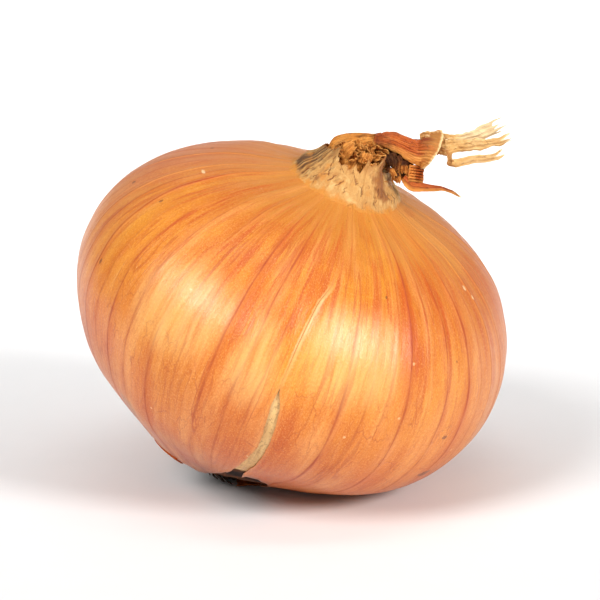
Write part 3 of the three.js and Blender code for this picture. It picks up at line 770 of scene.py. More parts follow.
def neck_shreds():
    """Small torn ends of the inner leaves, that stand up in rags over the front of the hood."""
    chance = np.random.default_rng(23)
    number = 0
    for row, count in ((0.22, 8), (0.33, 9), (0.44, 9), (0.55, 8), (0.68, 5)):
        for k in range(count):
            turn = math.radians(58 + 84 * (k + 0.5) / count + chance.uniform(-6, 6))
            share = row + chance.uniform(-0.05, 0.05)
            base = hood_point(share, turn, -0.25)
            outwards = unit(hood_point(share, turn, 1.0) - hood_point(share, turn, 0.0))
            upwards = unit(hood_point(share + 0.03, turn) - base)
            sideways = np.cross(outwards, upwards)
            lean = math.radians(chance.uniform(-80, 50))
            rise = unit(upwards * math.cos(lean) - sideways * math.sin(lean))
            length, lift = chance.uniform(1.2, 2.4), chance.uniform(0.3, 0.9)
            width = chance.uniform(0.8, 1.7)
            faces = outwards + 0.4 * sideways * chance.uniform(-1, 1) + (0, 0, chance.uniform(-0.2, 0.5))
            stations = []
            for along, out, narrow in ((0, 0, 1), (0.5, 0.5, 0.95), (1, chance.uniform(0.6, 1.5), 0.5)):
                at = base + rise * length * along + outwards * lift * out
                stations.append((at, width * narrow, faces, 60))
            number += 1
            leaf(f"neck_shred_{number}", stations, "neck_tissue", steps=20, across=10, ribs=2, rib_depth=0.05,
                 crumple=0.2, ragged=0.3, tear_start=0.05, tear_end=0.5, teeth=3.0,
                 tone=float(chance.choice([0.0, 0.1, 0.35, 0.9])), seed=200.0 + 3 * number)


def hollow_shade_shreds():
    """Brown rags in the hollow under the bell, between the collar and the pleated fold, near-black along
    their upper ends and all over where their tone is 1: painted shade of the hollow.
    """
    rags = [
        ((3.8, 0.2, 36.4), (6.6, 0.2, 35.7), (9.9, -0.2, 34.6), 4.0, 1.0),
        ((3.4, -0.8, 35.6), (6.2, -0.8, 35.2), (9.0, -0.6, 34.2), 3.0, 1.0),
        ((4.6, -2.9, 36.2), (5.6, -3.0, 35.2), (6.2, -2.8, 33.8), 2.2, 1.0),
        ((6.0, -2.4, 36.3), (6.9, -2.5, 35.0), (7.0, -2.3, 33.2), 2.0, 0.95),
        ((7.6, -2.0, 36.0), (8.1, -2.2, 34.8), (8.6, -2.0, 33.4), 1.6, 0.8),
        ((8.3, -1.5, 35.6), (9.2, -1.7, 34.4), (9.7, -1.6, 32.6), 1.9, 0.6),
        ((5.4, -1.4, 35.2), (7.2, -1.5, 34.1), (9.6, -1.4, 33.2), 2.2, 1.0),
        ((5.2, -3.3, 33.6), (6.4, -3.3, 33.5), (7.6, -3.0, 32.6), 1.1, 0.4),
        ((7.2, -2.7, 33.4), (8.0, -2.8, 32.6), (8.3, -2.6, 31.5), 0.8, 0.45),
        ((8.9, -1.0, 33.2), (10.0, -1.4, 32.9), (11.4, -1.8, 32.8), 1.3, 0.75),
    ]
    for i, (start, middle, end, width, tone) in enumerate(rags):
        leaf(f"hollow_shade_shred_{i + 1}", [
            (start, width, (0.1, -1, 0.1), 50), (middle, width, (0.3, -1, 0), 80),
            (end, width * 0.6, (-0.1, -1, 0.1), 40),
        ], "neck_tissue", steps=36, across=14, ribs=3, rib_depth=0.05, crumple=0.25, ragged=0.2,
            tear_start=0.05, tear_end=0.3, seed=300.0 + 5 * i,
            tone=lambda along: tone + (1 - tone) * smoothstep(0.6, 0.3, along))


# ---- root end ----
def root_plate():
    """The corky plate that the roots grew from, knobbly with their broken ends."""
    radius = ROOT_PLATE_RADIUS
    outline = smooth_rows(np.array([
        [radius * 0.8, -31.4], [radius, -31.9], [radius * 0.93, -32.5],
        [radius * 0.7, ROOT_PLATE_REACH + 0.1], [radius * 0.35, ROOT_PLATE_REACH],
    ]), 12)
    longitude = grid_of(len(outline), 97, 0, 360)[1]
    turn = np.radians(longitude)
    uneven = 0.1 * ripple(np.cos(turn) * 4, np.sin(turn) * 4, outline[:, 1:] * 0.8, seed=1.4)
    ring = outline[:, :1] * (1 + uneven)
    knobs = 0.4 * ripple(ring * np.cos(turn) * 0.9, ring * np.sin(turn) * 0.9, outline[:, 1:] * 0.9, seed=6.3)
    points = on_ring(ring, outline[:, 1:] + knobs * smoothstep(-31.6, -32.4, outline[:, 1:]), longitude)
    maps = {"leaf_map": np.stack([longitude / 20, ring], axis=-1)}
    return solid_piece("root_plate_cork", placed(points), maps, {}, "roots", "root_plate")


# Short dead roots, [longitude, length], that leave the plate's rim and lie back along the bulb.
DEAD_ROOTS = [(-172, 3.6), (-140, 4.6), (-112, 4.2), (-86, 4.4), (-60, 4.0), (-34, 4.2), (-8, 4.2)]
ROOT_RADIUS = 0.45


def dead_root(number, place, length, width=1.0, lift=0.0, node=None, name=None):
    """One dried root: a shrunken, kinked thread that thins to its broken end."""
    share, turn = grid_of(28, 13, 0, 2 * math.pi)
    start = ROOT_PLATE_RADIUS - 0.4
    reach = skin_outline.share_of_radius(start + share[:, 0] * length)
    longitude = place + 14 * share[:, 0] ** 2 + 3.5 * ripple(share[:, 0] * 3, seed=number * 2.1)
    out = lift + 0.15 + 0.8 * share[:, 0] ** 2 + 0.25 * ripple(share[:, 0] * 4, seed=number * 1.3)
    middle = on_outline(skin_outline, reach, longitude, out)
    along = unit(np.gradient(middle, axis=0))[:, None, :]
    side = unit(np.cross(along, (0, 0, 1.0)))
    other = np.cross(along, side)
    wrinkle = 1 + 0.22 * ripple(np.cos(turn) * 1.6, np.sin(turn) * 1.6, share * 7, seed=number * 0.7)
    radius = ROOT_RADIUS * width * (1 - 0.62 * share ** 1.5) * wrinkle
    sideways, upwards = ((radius * wave(turn))[..., None] for wave in (np.cos, np.sin))
    points = middle[:, None, :] + side * sideways + other * upwards
    maps = {"leaf_map": np.stack([turn * 0.5, share * length], axis=-1)}
    name = name or f"dead_root_{number}_thread"
    return solid_piece(name, placed(points, 0.05), maps, {}, "roots", node)


def dead_roots():
    for i, (place, length) in enumerate(DEAD_ROOTS):
        dead_root(i + 1, place, length, node=f"dead_root_{i + 1}")
    for i in range(16):
        place = -178 + 12.4 * i + 5 * float(ripple(i * 3.1, seed=3.0))
        length = 1.8 + 1.6 * abs(float(ripple(i * 2.3, seed=8.0)))
        dead_root(20 + i, place, length, width=0.6, lift=0.1, name=f"fine_root_{i + 1}")


# ---- flaps of brown skin round the roots ----
def flap_piece(node, grid, share, columns):
    """A scrap of skin from its outer grid of points, with its thickness under it."""
    rim = np.maximum(smoothstep(0.88, 1, share), smoothstep(0.92, 1, np.abs(2 * columns - 1))) + 0 * share
    maps = {"leaf_map": np.stack([columns * 4 + 0 * share, share * 5 + 0 * columns], axis=-1),
            "leaf_share": np.stack([columns + 0 * share, share + 0 * columns], axis=-1)}
    face, back = grid
    return sheet_piece(node + "_torn", face, back, maps, {"rim": rim, "tone": 0 * rim}, "brown_flap", node)


def root_flap_left():
    """A scrap left of the roots, that still holds to the skin along one side."""
    rows = np.linspace(0, 1, 36)[:, None]
    columns = np.linspace(0, 1, 37)[None, :]
    share = rows * (0.9 + 0.12 * ripple(columns * 6, seed=1.5) + 0.1 * ripple(columns * 17, seed=3.5))
    reach = skin_outline.share_of_radius(17.8 - 6 * share)
    frayed = 2.2 * ripple(share * 4, seed=7.7) * (1 - 2 * columns)
    frayed = frayed + 1.2 * ripple(share * 13, columns * 2, seed=9.1)
    longitude = -47 + 5 * share ** 2 + (19 - 11 * share ** 2) * columns + frayed * np.abs(1 - 2 * columns)
    crumple = 0.15 * ripple(longitude * 0.12, share * 3, seed=4.0)
    outward = lie_of_skin(np.radians(longitude), reach) + 0.02 + 0.25 * share ** 2 + crumple * share
    grid = [placed(on_outline(skin_outline, reach, longitude, outward + thick)) for thick in (PAPER, 0)]
    return flap_piece("root_flap_left", grid, rows, columns)


def root_flap_front():
    """A scrap pressed flat between the onion and the table, its straight torn edge turned forwards."""
    rows = np.linspace(0, 1, 36)[:, None]
    columns = np.linspace(0, 1, 37)[None, :]
    jag = 0.14 * ripple(columns * 4, seed=2.2) + 0.1 * ripple(columns * 15, seed=5.1)
    across = -12.1 + 7.9 * columns + 0.5 * ripple(rows * 3, seed=1.9) * (1 - 2 * columns)
    depth = 0.6 - 4.7 * rows - jag * rows
    crumpled = 0.12 + 0.1 * ripple(columns * 5, rows * 3, seed=6.3)
    height = 0.08 + 0.55 * (1 - rows) + crumpled * (1 + 2 * columns * rows)
    face = np.stack([across, depth + 0 * columns, height + PAPER], axis=-1) * MM
    back = np.stack([across, depth + 0 * columns, height], axis=-1) * MM
    return flap_piece("root_flap_front", (face, back), rows, columns)


# ---- shader building ----
class Nodes:
    """Short hands for the nodes of one tree. A place for a value takes a number or another socket."""

    def __init__(self, tree):
        self.tree = tree

    def add(self, kind, inputs=(), **settings):
        node = self.tree.nodes.new(kind)
        for key, value in settings.items():
            setattr(node, key, value)
        for key, value in dict(inputs).items():
            self.feed(node.inputs[key], value)
        return node

    def feed(self, socket, value):
        if isinstance(value, bpy.types.NodeSocket):
            self.tree.links.new(value, socket)
        else:
            socket.default_value = value

    def math(self, operation, a, b=0.5, clamp=False):
        node = self.add("ShaderNodeMath", {0: a, 1: b, 2: 0.0}, operation=operation, use_clamp=clamp)
        return node.outputs[0]

    def plus(self, a, b):
        return self.math("ADD", a, b)

    def minus(self, a, b):
        return self.math("SUBTRACT", a, b)

    def times(self, a, b, clamp=False):
        return self.math("MULTIPLY", a, b, clamp)

    def over(self, a, b):
        return self.math("DIVIDE", a, b)

    def absolute(self, a):
        return self.math("ABSOLUTE", a)

    def total(self, start, *parts):
        """The start value with the others, each a [value, weight], added one by one."""
        for value, weight in parts:
            start = self.plus(start, self.times(value, weight))
        return start

    def rescale(self, value, low, high, to_low=0.0, to_high=1.0, smooth=False):
        kind = "SMOOTHSTEP" if smooth else "LINEAR"
        node = self.add("ShaderNodeMapRange", {0: value, 1: low, 2: high, 3: to_low, 4: to_high},
                        interpolation_type=kind)
        return node.outputs[0]

    def blend(self, share, a, b):
        node = self.add("ShaderNodeMix", data_type="RGBA")
        for socket, value in zip((node.inputs[0], node.inputs[6], node.inputs[7]), (share, a, b)):
            self.feed(socket, value)
        return node.outputs[2]

    def layers(self, base, *washes):
        """A base colour under washes of others, each a [share, colour], from the lowest up."""
        for share, tint in washes:
            base = self.blend(share, base, tint)
        return base

    def value(self, name):
        return self.add("ShaderNodeAttribute", attribute_name=name).outputs["Fac"]

    def uv(self, name):
        return self.add("ShaderNodeUVMap", uv_map=name).outputs[0]

    def stretched(self, vector, x, y):
        node = self.add("ShaderNodeVectorMath", {0: vector, 1: (x, y, 1.0)}, operation="MULTIPLY")
        return node.outputs[0]

    def noise(self, vector, scale, detail=3.0, roughness=0.55, distortion=0.0):
        return self.add("ShaderNodeTexNoise", {
            "Vector": vector, "Scale": scale, "Detail": detail, "Roughness": roughness,
            "Distortion": distortion,
        }).outputs["Fac"]

    def bump(self, height, distance, strength):
        inputs = {"Height": height, "Distance": distance, "Strength": strength}
        return self.add("ShaderNodeBump", inputs).outputs[0]

    def group(self, tree, **inputs):
        node = self.add("ShaderNodeGroup", node_tree=tree)
        for key, value in inputs.items():
            self.feed(node.inputs[key.replace("_", " ")], value)
        return node.outputs


def new_group(name, inputs, outputs):
    """An empty shader group with named sockets; inputs are [name, kind, default]."""
    tree = bpy.data.node_groups.new(name, "ShaderNodeTree")
    for socket_name, kind, default in inputs:
        socket = tree.interface.new_socket(socket_name, in_out="INPUT", socket_type=kind)
        if default is not None:
            socket.default_value = default
    for socket_name, kind in outputs:
        tree.interface.new_socket(socket_name, in_out="OUTPUT", socket_type=kind)
    nodes = Nodes(tree)
    return tree, nodes, nodes.add("NodeGroupInput").outputs, nodes.add("NodeGroupOutput").inputs


FLOAT, VECTOR = "NodeSocketFloat", "NodeSocketVector"


def dry_fibres_group():
    """Fine fibres along a leaf or skin: streaks from 0 to 1 on a map whose y runs along the fibres."""
    tree, n, given, out = new_group("dry fibres", [
        ("Map", VECTOR, None), ("Fineness", FLOAT, 3.0), ("Length", FLOAT, 0.3), ("Wander", FLOAT, 0.2),
    ], [("Coarse", FLOAT), ("Fine", FLOAT)])
    sway = n.noise(given["Map"], 0.6, detail=2.0)
    sway = n.times(n.minus(sway, 0.5), given["Wander"])
    parts = n.add("ShaderNodeSeparateXYZ", {0: given["Map"]}).outputs
    x = n.times(n.plus(parts[0], sway), given["Fineness"])
    y = n.times(parts[1], given["Length"])
    coarse = n.add("ShaderNodeCombineXYZ", {0: x, 1: y}).outputs[0]
    n.feed(out["Coarse"], n.noise(coarse, 1.0, detail=2.0, roughness=0.5))
    n.feed(out["Fine"], n.noise(coarse, 3.7, detail=3.0, roughness=0.65))
    return tree


def dry_spots_group():
    """Small scattered specks: 1 inside a speck, on a share of the cells of a scattered grid."""
    tree, n, given, out = new_group("dry spots", [
        ("Place", VECTOR, None), ("Scale", FLOAT, 1.0), ("Share", FLOAT, 0.1), ("Size", FLOAT, 0.12),
    ], [("Mask", FLOAT)])
    warp = n.add("ShaderNodeTexNoise", {"Vector": given["Place"], "Scale": 2500.0, "Detail": 2.0})
    shift = n.add("ShaderNodeVectorMath", {0: warp.outputs["Color"], 1: (0.0004, 0.0004, 0.0004)},
                  operation="MULTIPLY").outputs[0]
    place = n.add("ShaderNodeVectorMath", {0: given["Place"], 1: shift}, operation="ADD").outputs[0]
    cells = n.add("ShaderNodeTexVoronoi", {"Vector": place, "Scale": given["Scale"]}).outputs
    chosen = n.add("ShaderNodeSeparateColor", {0: cells["Color"]}).outputs
    kept = n.math("LESS_THAN", chosen[0], given["Share"])
    size = n.times(given["Size"], n.rescale(chosen[1], 0, 1, 0.35, 1.0))
    near = n.rescale(n.over(cells["Distance"], size), 1.0, 0.55, 0.0, 1.0, smooth=True)
    n.feed(out["Mask"], n.times(kept, near))
    return tree


def mottle_group():
    """Cloudy patches from 0 to 1 with soft or hard borders."""
    tree, n, given, out = new_group("mottle", [
        ("Place", VECTOR, None), ("Scale", FLOAT, 100.0), ("Middle", FLOAT, 0.5), ("Softness", FLOAT, 0.2),
    ], [("Mask", FLOAT)])
    cloud = n.noise(given["Place"], given["Scale"], detail=5.0, roughness=0.6, distortion=0.4)
    low = n.minus(given["Middle"], given["Softness"])
    high = n.plus(given["Middle"], given["Softness"])
    n.feed(out["Mask"], n.rescale(cloud, low, high, smooth=True))
    return tree


def dry_cracks_group():
    """Thin wandering cracks of a dried sheet: 1 on a crack, with patches left whole."""
    tree, n, given, out = new_group("dry cracks", [
        ("Map", VECTOR, None), ("Scale", FLOAT, 1.0), ("Width", FLOAT, 0.03), ("Share", FLOAT, 0.5),
    ], [("Mask", FLOAT)])
    bend = n.add("ShaderNodeTexNoise", {"Vector": given["Map"], "Scale": 2.4, "Detail": 4.0}).outputs["Color"]
    bend = n.stretched(bend, 0.55, 0.5)
    bent = n.add("ShaderNodeVectorMath", {0: bend, 1: given["Map"]}, operation="ADD").outputs[0]
    cells = n.add("ShaderNodeTexVoronoi", {"Vector": bent, "Scale": given["Scale"]},
                  feature="DISTANCE_TO_EDGE")
    line = n.rescale(n.over(cells.outputs["Distance"], given["Width"]), 1.0, 0.12, smooth=True)
    keep = n.rescale(n.noise(given["Map"], 0.9, detail=3.0), 0.35, 0.65)
    keep = n.rescale(n.plus(keep, given["Share"]), 0.9, 1.1, smooth=True)
    n.feed(out["Mask"], n.times(line, keep))
    return tree


def mark_group():
    """One wobbly-edged blemish on a map: 1 inside, centred at At, reaching Size across and along."""
    tree, n, given, out = new_group("single mark", [
        ("Map", VECTOR, None), ("At", VECTOR, None), ("Size", VECTOR, None), ("Raggedness", FLOAT, 0.6),
    ], [("Mask", FLOAT)])
    away = n.add("ShaderNodeVectorMath", {0: given["Map"], 1: given["At"]}, operation="SUBTRACT").outputs[0]
    scaled = n.add("ShaderNodeVectorMath", {0: away, 1: given["Size"]}, operation="DIVIDE").outputs[0]
    flat = n.add("ShaderNodeVectorMath", {0: scaled, 1: (1, 1, 0)}, operation="MULTIPLY").outputs[0]
    distance = n.add("ShaderNodeVectorMath", {0: flat}, operation="LENGTH").outputs["Value"]
    rough = n.noise(scaled, 1.7, detail=4.0, roughness=0.7)
    wobble = n.times(n.minus(rough, 0.5), given["Raggedness"])
    n.feed(out["Mask"], n.rescale(n.plus(distance, n.times(wobble, 2.0)), 1.15, 0.75, smooth=True))
    return tree


def new_finish(name, **constants):
    """A material with a plain Principled shader; the constants go straight on its sockets."""
    material = bpy.data.materials.new(name)
    material.use_nodes = True
    shader = material.node_tree.nodes["Principled BSDF"]
    for key, value in constants.items():
        shader.inputs[key.replace("_", " ")].default_value = value
    return material, Nodes(material.node_tree), shader


def ramp(n, value, stops):
    """Colours through [place, colour] stops."""
    node = n.add("ShaderNodeValToRGB", {0: value})
    elements = node.color_ramp.elements
    while len(elements) < len(stops):
        elements.new(0.5)
    for element, (place, tint) in zip(elements, stops):
        element.position = place
        element.color = tint
    return node.outputs[0]


def colour(red, green, blue):
    """A finish colour from its sRGB 0-255 values, for a shader's linear socket."""
    shares = [part / 255 for part in (red, green, blue)]
    return (*(part / 12.92 if part <= 0.0404 else ((part + 0.055) / 1.055) ** 2.4 for part in shares), 1.0)


# Tints of the outer skin, from the roots up and then by use.
SKIN_TINTS = [
    (0.0, colour(80, 30, 10)), (0.05, colour(150, 52, 16)), (0.14, colour(186, 78, 20)),
    (0.34, colour(212, 108, 30)), (0.56, colour(224, 134, 46)), (0.74, colour(214, 124, 28)),
    (0.82, colour(202, 114, 22)), (0.9, colour(196, 118, 32)), (0.97, colour(196, 134, 64)),
]
SKIN_PALE = colour(244, 170, 94)
SKIN_YELLOW = colour(234, 160, 34)
SKIN_DEEP = colour(194, 80, 12)
SKIN_VEIN = colour(172, 62, 12)
SKIN_FLECK_AND_HIGHLIGHT = colour(248, 188, 110)
# Dust on the sides and back, partly painted sheen and shade at the outline.
SKIN_SIDE_DUST_SHEEN_SHADE = colour(190, 116, 74)
COLLAR_HEM = colour(200, 128, 46)

# Broad pale areas where the lamps' highlights fall, partly paler thinner skin and partly painted highlight,
# [longitude, height, half width and half length in millimetres].
THIN_SKIN_AND_HIGHLIGHT_AREAS = [(20, 11.0, 9.5, 8.5), (-27, 7.0, 8.5, 8.5), (-3, 4.5, 4.0, 8.0)]
# Single marks: [kind, longitude, height, half width and half length in millimetres], and the tint and
# strength of each kind.
SKIN_MARKS = [
    ("dark", -80.8, 13.6, 0.5, 0.4), ("dark", -99, 21.8, 0.6, 0.3), ("dark", 28.8, 19.6, 0.22, 0.3),
    ("dark", 55.8, -1.0, 0.7, 0.35), ("dark", 60.8, -10.6, 1.6, 0.9), ("pale", 70.6, 20.5, 0.35, 0.5),
    ("pale", 72.4, 19.4, 0.25, 0.4), ("pale", -69.8, 21.5, 0.9, 0.3), ("red", 86, 26.4, 1.6, 1.1),
    ("grey", 92, 28.4, 0.5, 2.4), ("dark", -60, 16.3, 0.3, 0.4), ("dark", -58.8, 3.1, 0.35, 0.5),
    ("grey", -39, -19, 2.2, 3.4), ("dark", 133, 6, 1.0, 0.8), ("grey", 178, -9, 2.6, 3.6),
    ("dark", 218, 2, 0.5, 1.6), ("red", 160, 20, 1.8, 1.6), ("pale", 246, 12, 0.4, 1.6),
]
MARK_TINTS = {"dark": (colour(100, 38, 12), 0.7), "pale": (colour(246, 214, 164), 0.75),
              "red": (colour(186, 66, 16), 0.42), "grey": (colour(150, 104, 74), 0.4)}


def main_veins(n, skin_map, fibres, darkness):
    """The long dark veins, by the distance in degrees to the nearest one. Gives that distance, a vein's
    thin core, its soft flanks, the broken dark line of both and the broad streaks beside it."""
    vein_map = n.add("ShaderNodeSeparateXYZ", {0: n.uv("vein_map")}).outputs
    turned = n.math("FRACT", n.plus(vein_map[0], 0.5))
    distance = n.times(n.absolute(n.minus(turned, 0.5)), vein_map[1])
    distance = n.times(distance, float(DEGREES_A_UNIT))
    sway = n.times(n.minus(fibres["Coarse"], 0.5), 0.8)
    distance = n.absolute(n.plus(distance, sway))
    core = n.rescale(distance, 0.42, 0.04, smooth=True)
    flanks = n.rescale(distance, 1.3, 0.1, smooth=True)
    halo = n.rescale(distance, 3.6, 0.2, smooth=True)
    broken = n.rescale(n.noise(n.stretched(skin_map, 7, 2.6), 1.0, detail=4.0), 0.36, 0.58, 0.25, 1.0)
    flame = n.rescale(n.noise(n.stretched(skin_map, 1.5, 0.34), 1.0, detail=3.0), 0.36, 0.66, 0.12, 1.0)
    streaks = n.times(n.times(halo, flame), darkness, clamp=True)
    lines = n.plus(n.times(core, broken), n.times(flanks, 0.4))
    lines = n.times(lines, darkness, clamp=True)
    heart = n.times(core, n.times(darkness, broken))
    return distance, flanks, lines, heart, streaks


def fine_veins_and_threads(n, skin_map, broad):
    """Finer veins between the main ones, which wander, part and join, and threads finer still."""
    wander = n.absolute(n.minus(broad["Coarse"], 0.5))
    strength = n.rescale(n.noise(n.stretched(skin_map, 0.8, 0.5), 1.0), 0.42, 0.62, 0.05, 0.8, smooth=True)
    fine_veins = n.times(n.rescale(wander, 0.022, 0.002, smooth=True), strength)
    thread = n.absolute(n.minus(broad["Fine"], 0.5))
    return fine_veins, n.times(n.rescale(thread, 0.022, 0.003, smooth=True), 0.4)


def crack_nets(n, shared, skin_map, up):
    """A wide net of faint cracks on the lower half and a close one all over."""
    wide = n.group(shared["cracks"], Map=n.stretched(skin_map, 1.25, 0.8), Scale=1.6, Width=0.03,
                   Share=0.5)["Mask"]
    band = n.times(n.rescale(up, 0.08, 0.25, smooth=True), n.rescale(up, 0.7, 0.5, smooth=True))
    net = n.times(wide, band)
    crackle = n.group(shared["cracks"], Map=n.stretched(skin_map, 5.5, 3.2), Scale=1.6, Width=0.09,
                      Share=0.7)["Mask"]
    return net, crackle


def skin_ground(n, shared, skin_map, up, clouds, broad):
    """The skin's ground colour: tints from the roots to the neck, soft clouds, yellow patches, deeper
    areas with jagged borders near the neck and broad soft streaks."""
    place = n.add("ShaderNodeTexCoord").outputs["Object"]
    yellow = n.group(shared["mottle"], Place=place, Scale=48.0, Middle=0.55, Softness=0.15)["Mask"]
    border = n.plus(up, n.rescale(broad["Coarse"], 0.25, 0.75, -0.1, 0.1))
    patchy = n.noise(n.stretched(skin_map, 0.3, 0.05), 1.0, detail=1.0)
    upper = n.times(n.rescale(border, 0.71, 0.76, smooth=True), n.rescale(patchy, 0.4, 0.55, smooth=True))
    upper = n.times(upper, n.rescale(up, 0.97, 0.86, smooth=True))
    smear = n.noise(n.stretched(skin_map, 3.4, 0.5), 1.0, detail=4.0, roughness=0.6)
    smear = n.times(n.rescale(smear, 0.5, 0.63, 0, 0.78, smooth=True), n.rescale(up, 0.42, 0.74, 0.16, 1.0))
    return n.layers(
        ramp(n, up, SKIN_TINTS),
        (n.rescale(clouds, 0.46, 0.7, 0.0, 0.55, smooth=True), SKIN_PALE),
        (n.rescale(clouds, 0.5, 0.3, 0.0, 0.75, smooth=True), SKIN_DEEP),
        (n.times(yellow, n.rescale(up, 0.45, 0.8, 0.28, 0.65)), SKIN_YELLOW),
        (n.times(upper, 0.3), SKIN_DEEP),
        (n.times(smear, n.rescale(up, 0.96, 0.84)), SKIN_DEEP),
    )


def split_lips(n, up, coarse_grain, from_split):
    """The closed crack above the open split: its pale lips and, between them, a thin dark line of painted
    shade in the crack.
    """
    cracked = n.times(n.rescale(up, 0.81, 0.76, smooth=True), n.rescale(up, 0.52, 0.66, 0.25, 1.0))
    beside = n.absolute(from_split)
    frayed = n.plus(beside, n.rescale(coarse_grain, 0.3, 0.7, -0.16, 0.16))
    lips = n.times(n.rescale(frayed, 0.62, 0.3, smooth=True), cracked)
    # thin dark line just left of the crack's middle: painted shade in the crack
    line = n.rescale(n.absolute(n.plus(from_split, 0.14)), 0.14, 0.03, smooth=True)
    return lips, n.times(line, cracked)


def skin_place(longitude, height, half_width, half_length):
    """Where a blemish lies on the skin map, (across, along), and how far it reaches each way."""
    share = float(skin_outline.share_of_height(height))
    reach_across = math.degrees(half_width / float(skin_outline.at(share)[0])) / DEGREES_A_UNIT
    across = (longitude + 360 * (longitude < SPLIT_LONGITUDE)) / DEGREES_A_UNIT
    reach_along = half_length * UNITS_ALONG / skin_outline.length
    return (across, share * UNITS_ALONG), (reach_across, reach_along)


def thin_skin_and_painted_highlights(n, base, skin_map, clouds, fibres):
    """Broad paler areas: thinner, paler skin, placed where the lamps' highlights fall, so partly a painted
    highlight.
    """
    skin_x, skin_y = n.add("ShaderNodeSeparateXYZ", {0: skin_map}).outputs[:2]
    for area in THIN_SKIN_AND_HIGHLIGHT_AREAS:
        middle, reach = skin_place(*area)
        across = n.over(n.minus(skin_x, middle[0]), reach[0])
        along = n.over(n.minus(skin_y, middle[1]), reach[1])
        away = n.plus(n.times(across, across), n.times(along, along))
        away = n.plus(away, n.rescale(clouds, 0.3, 0.7, 0.3, -0.3))
        thin = n.times(n.rescale(away, 1.7, 0.0, smooth=True),
                       n.rescale(fibres["Coarse"], 0.3, 0.6, 0.5, 1.0))
        # pale patch: partly paler thin skin, partly a painted highlight
        base = n.blend(n.times(thin, 0.4), base, colour(252, 208, 132))
    return base


def blemishes(n, base, shared, skin_map):
    """The single marks, then fine dark specks and pale flecks everywhere."""
    for kind, *area in SKIN_MARKS:
        middle, reach = skin_place(*area)
        mask = n.group(shared["mark"], Map=skin_map, At=(*middle, 0), Size=(*reach, 1),
                       Raggedness=0.9)["Mask"]
        tint, most = MARK_TINTS[kind]
        base = n.blend(n.times(mask, most), base, tint)
    place = n.add("ShaderNodeTexCoord").outputs["Object"]
    specks = n.group(shared["spots"], Place=place, Scale=260.0, Share=0.08, Size=0.1)["Mask"]
    flecks = n.group(shared["spots"], Place=place, Scale=420.0, Share=0.05, Size=0.16)["Mask"]
    return n.layers(base, (n.times(specks, 0.6), colour(128, 46, 12)),
                    (n.times(flecks, 0.5), colour(250, 214, 160)))


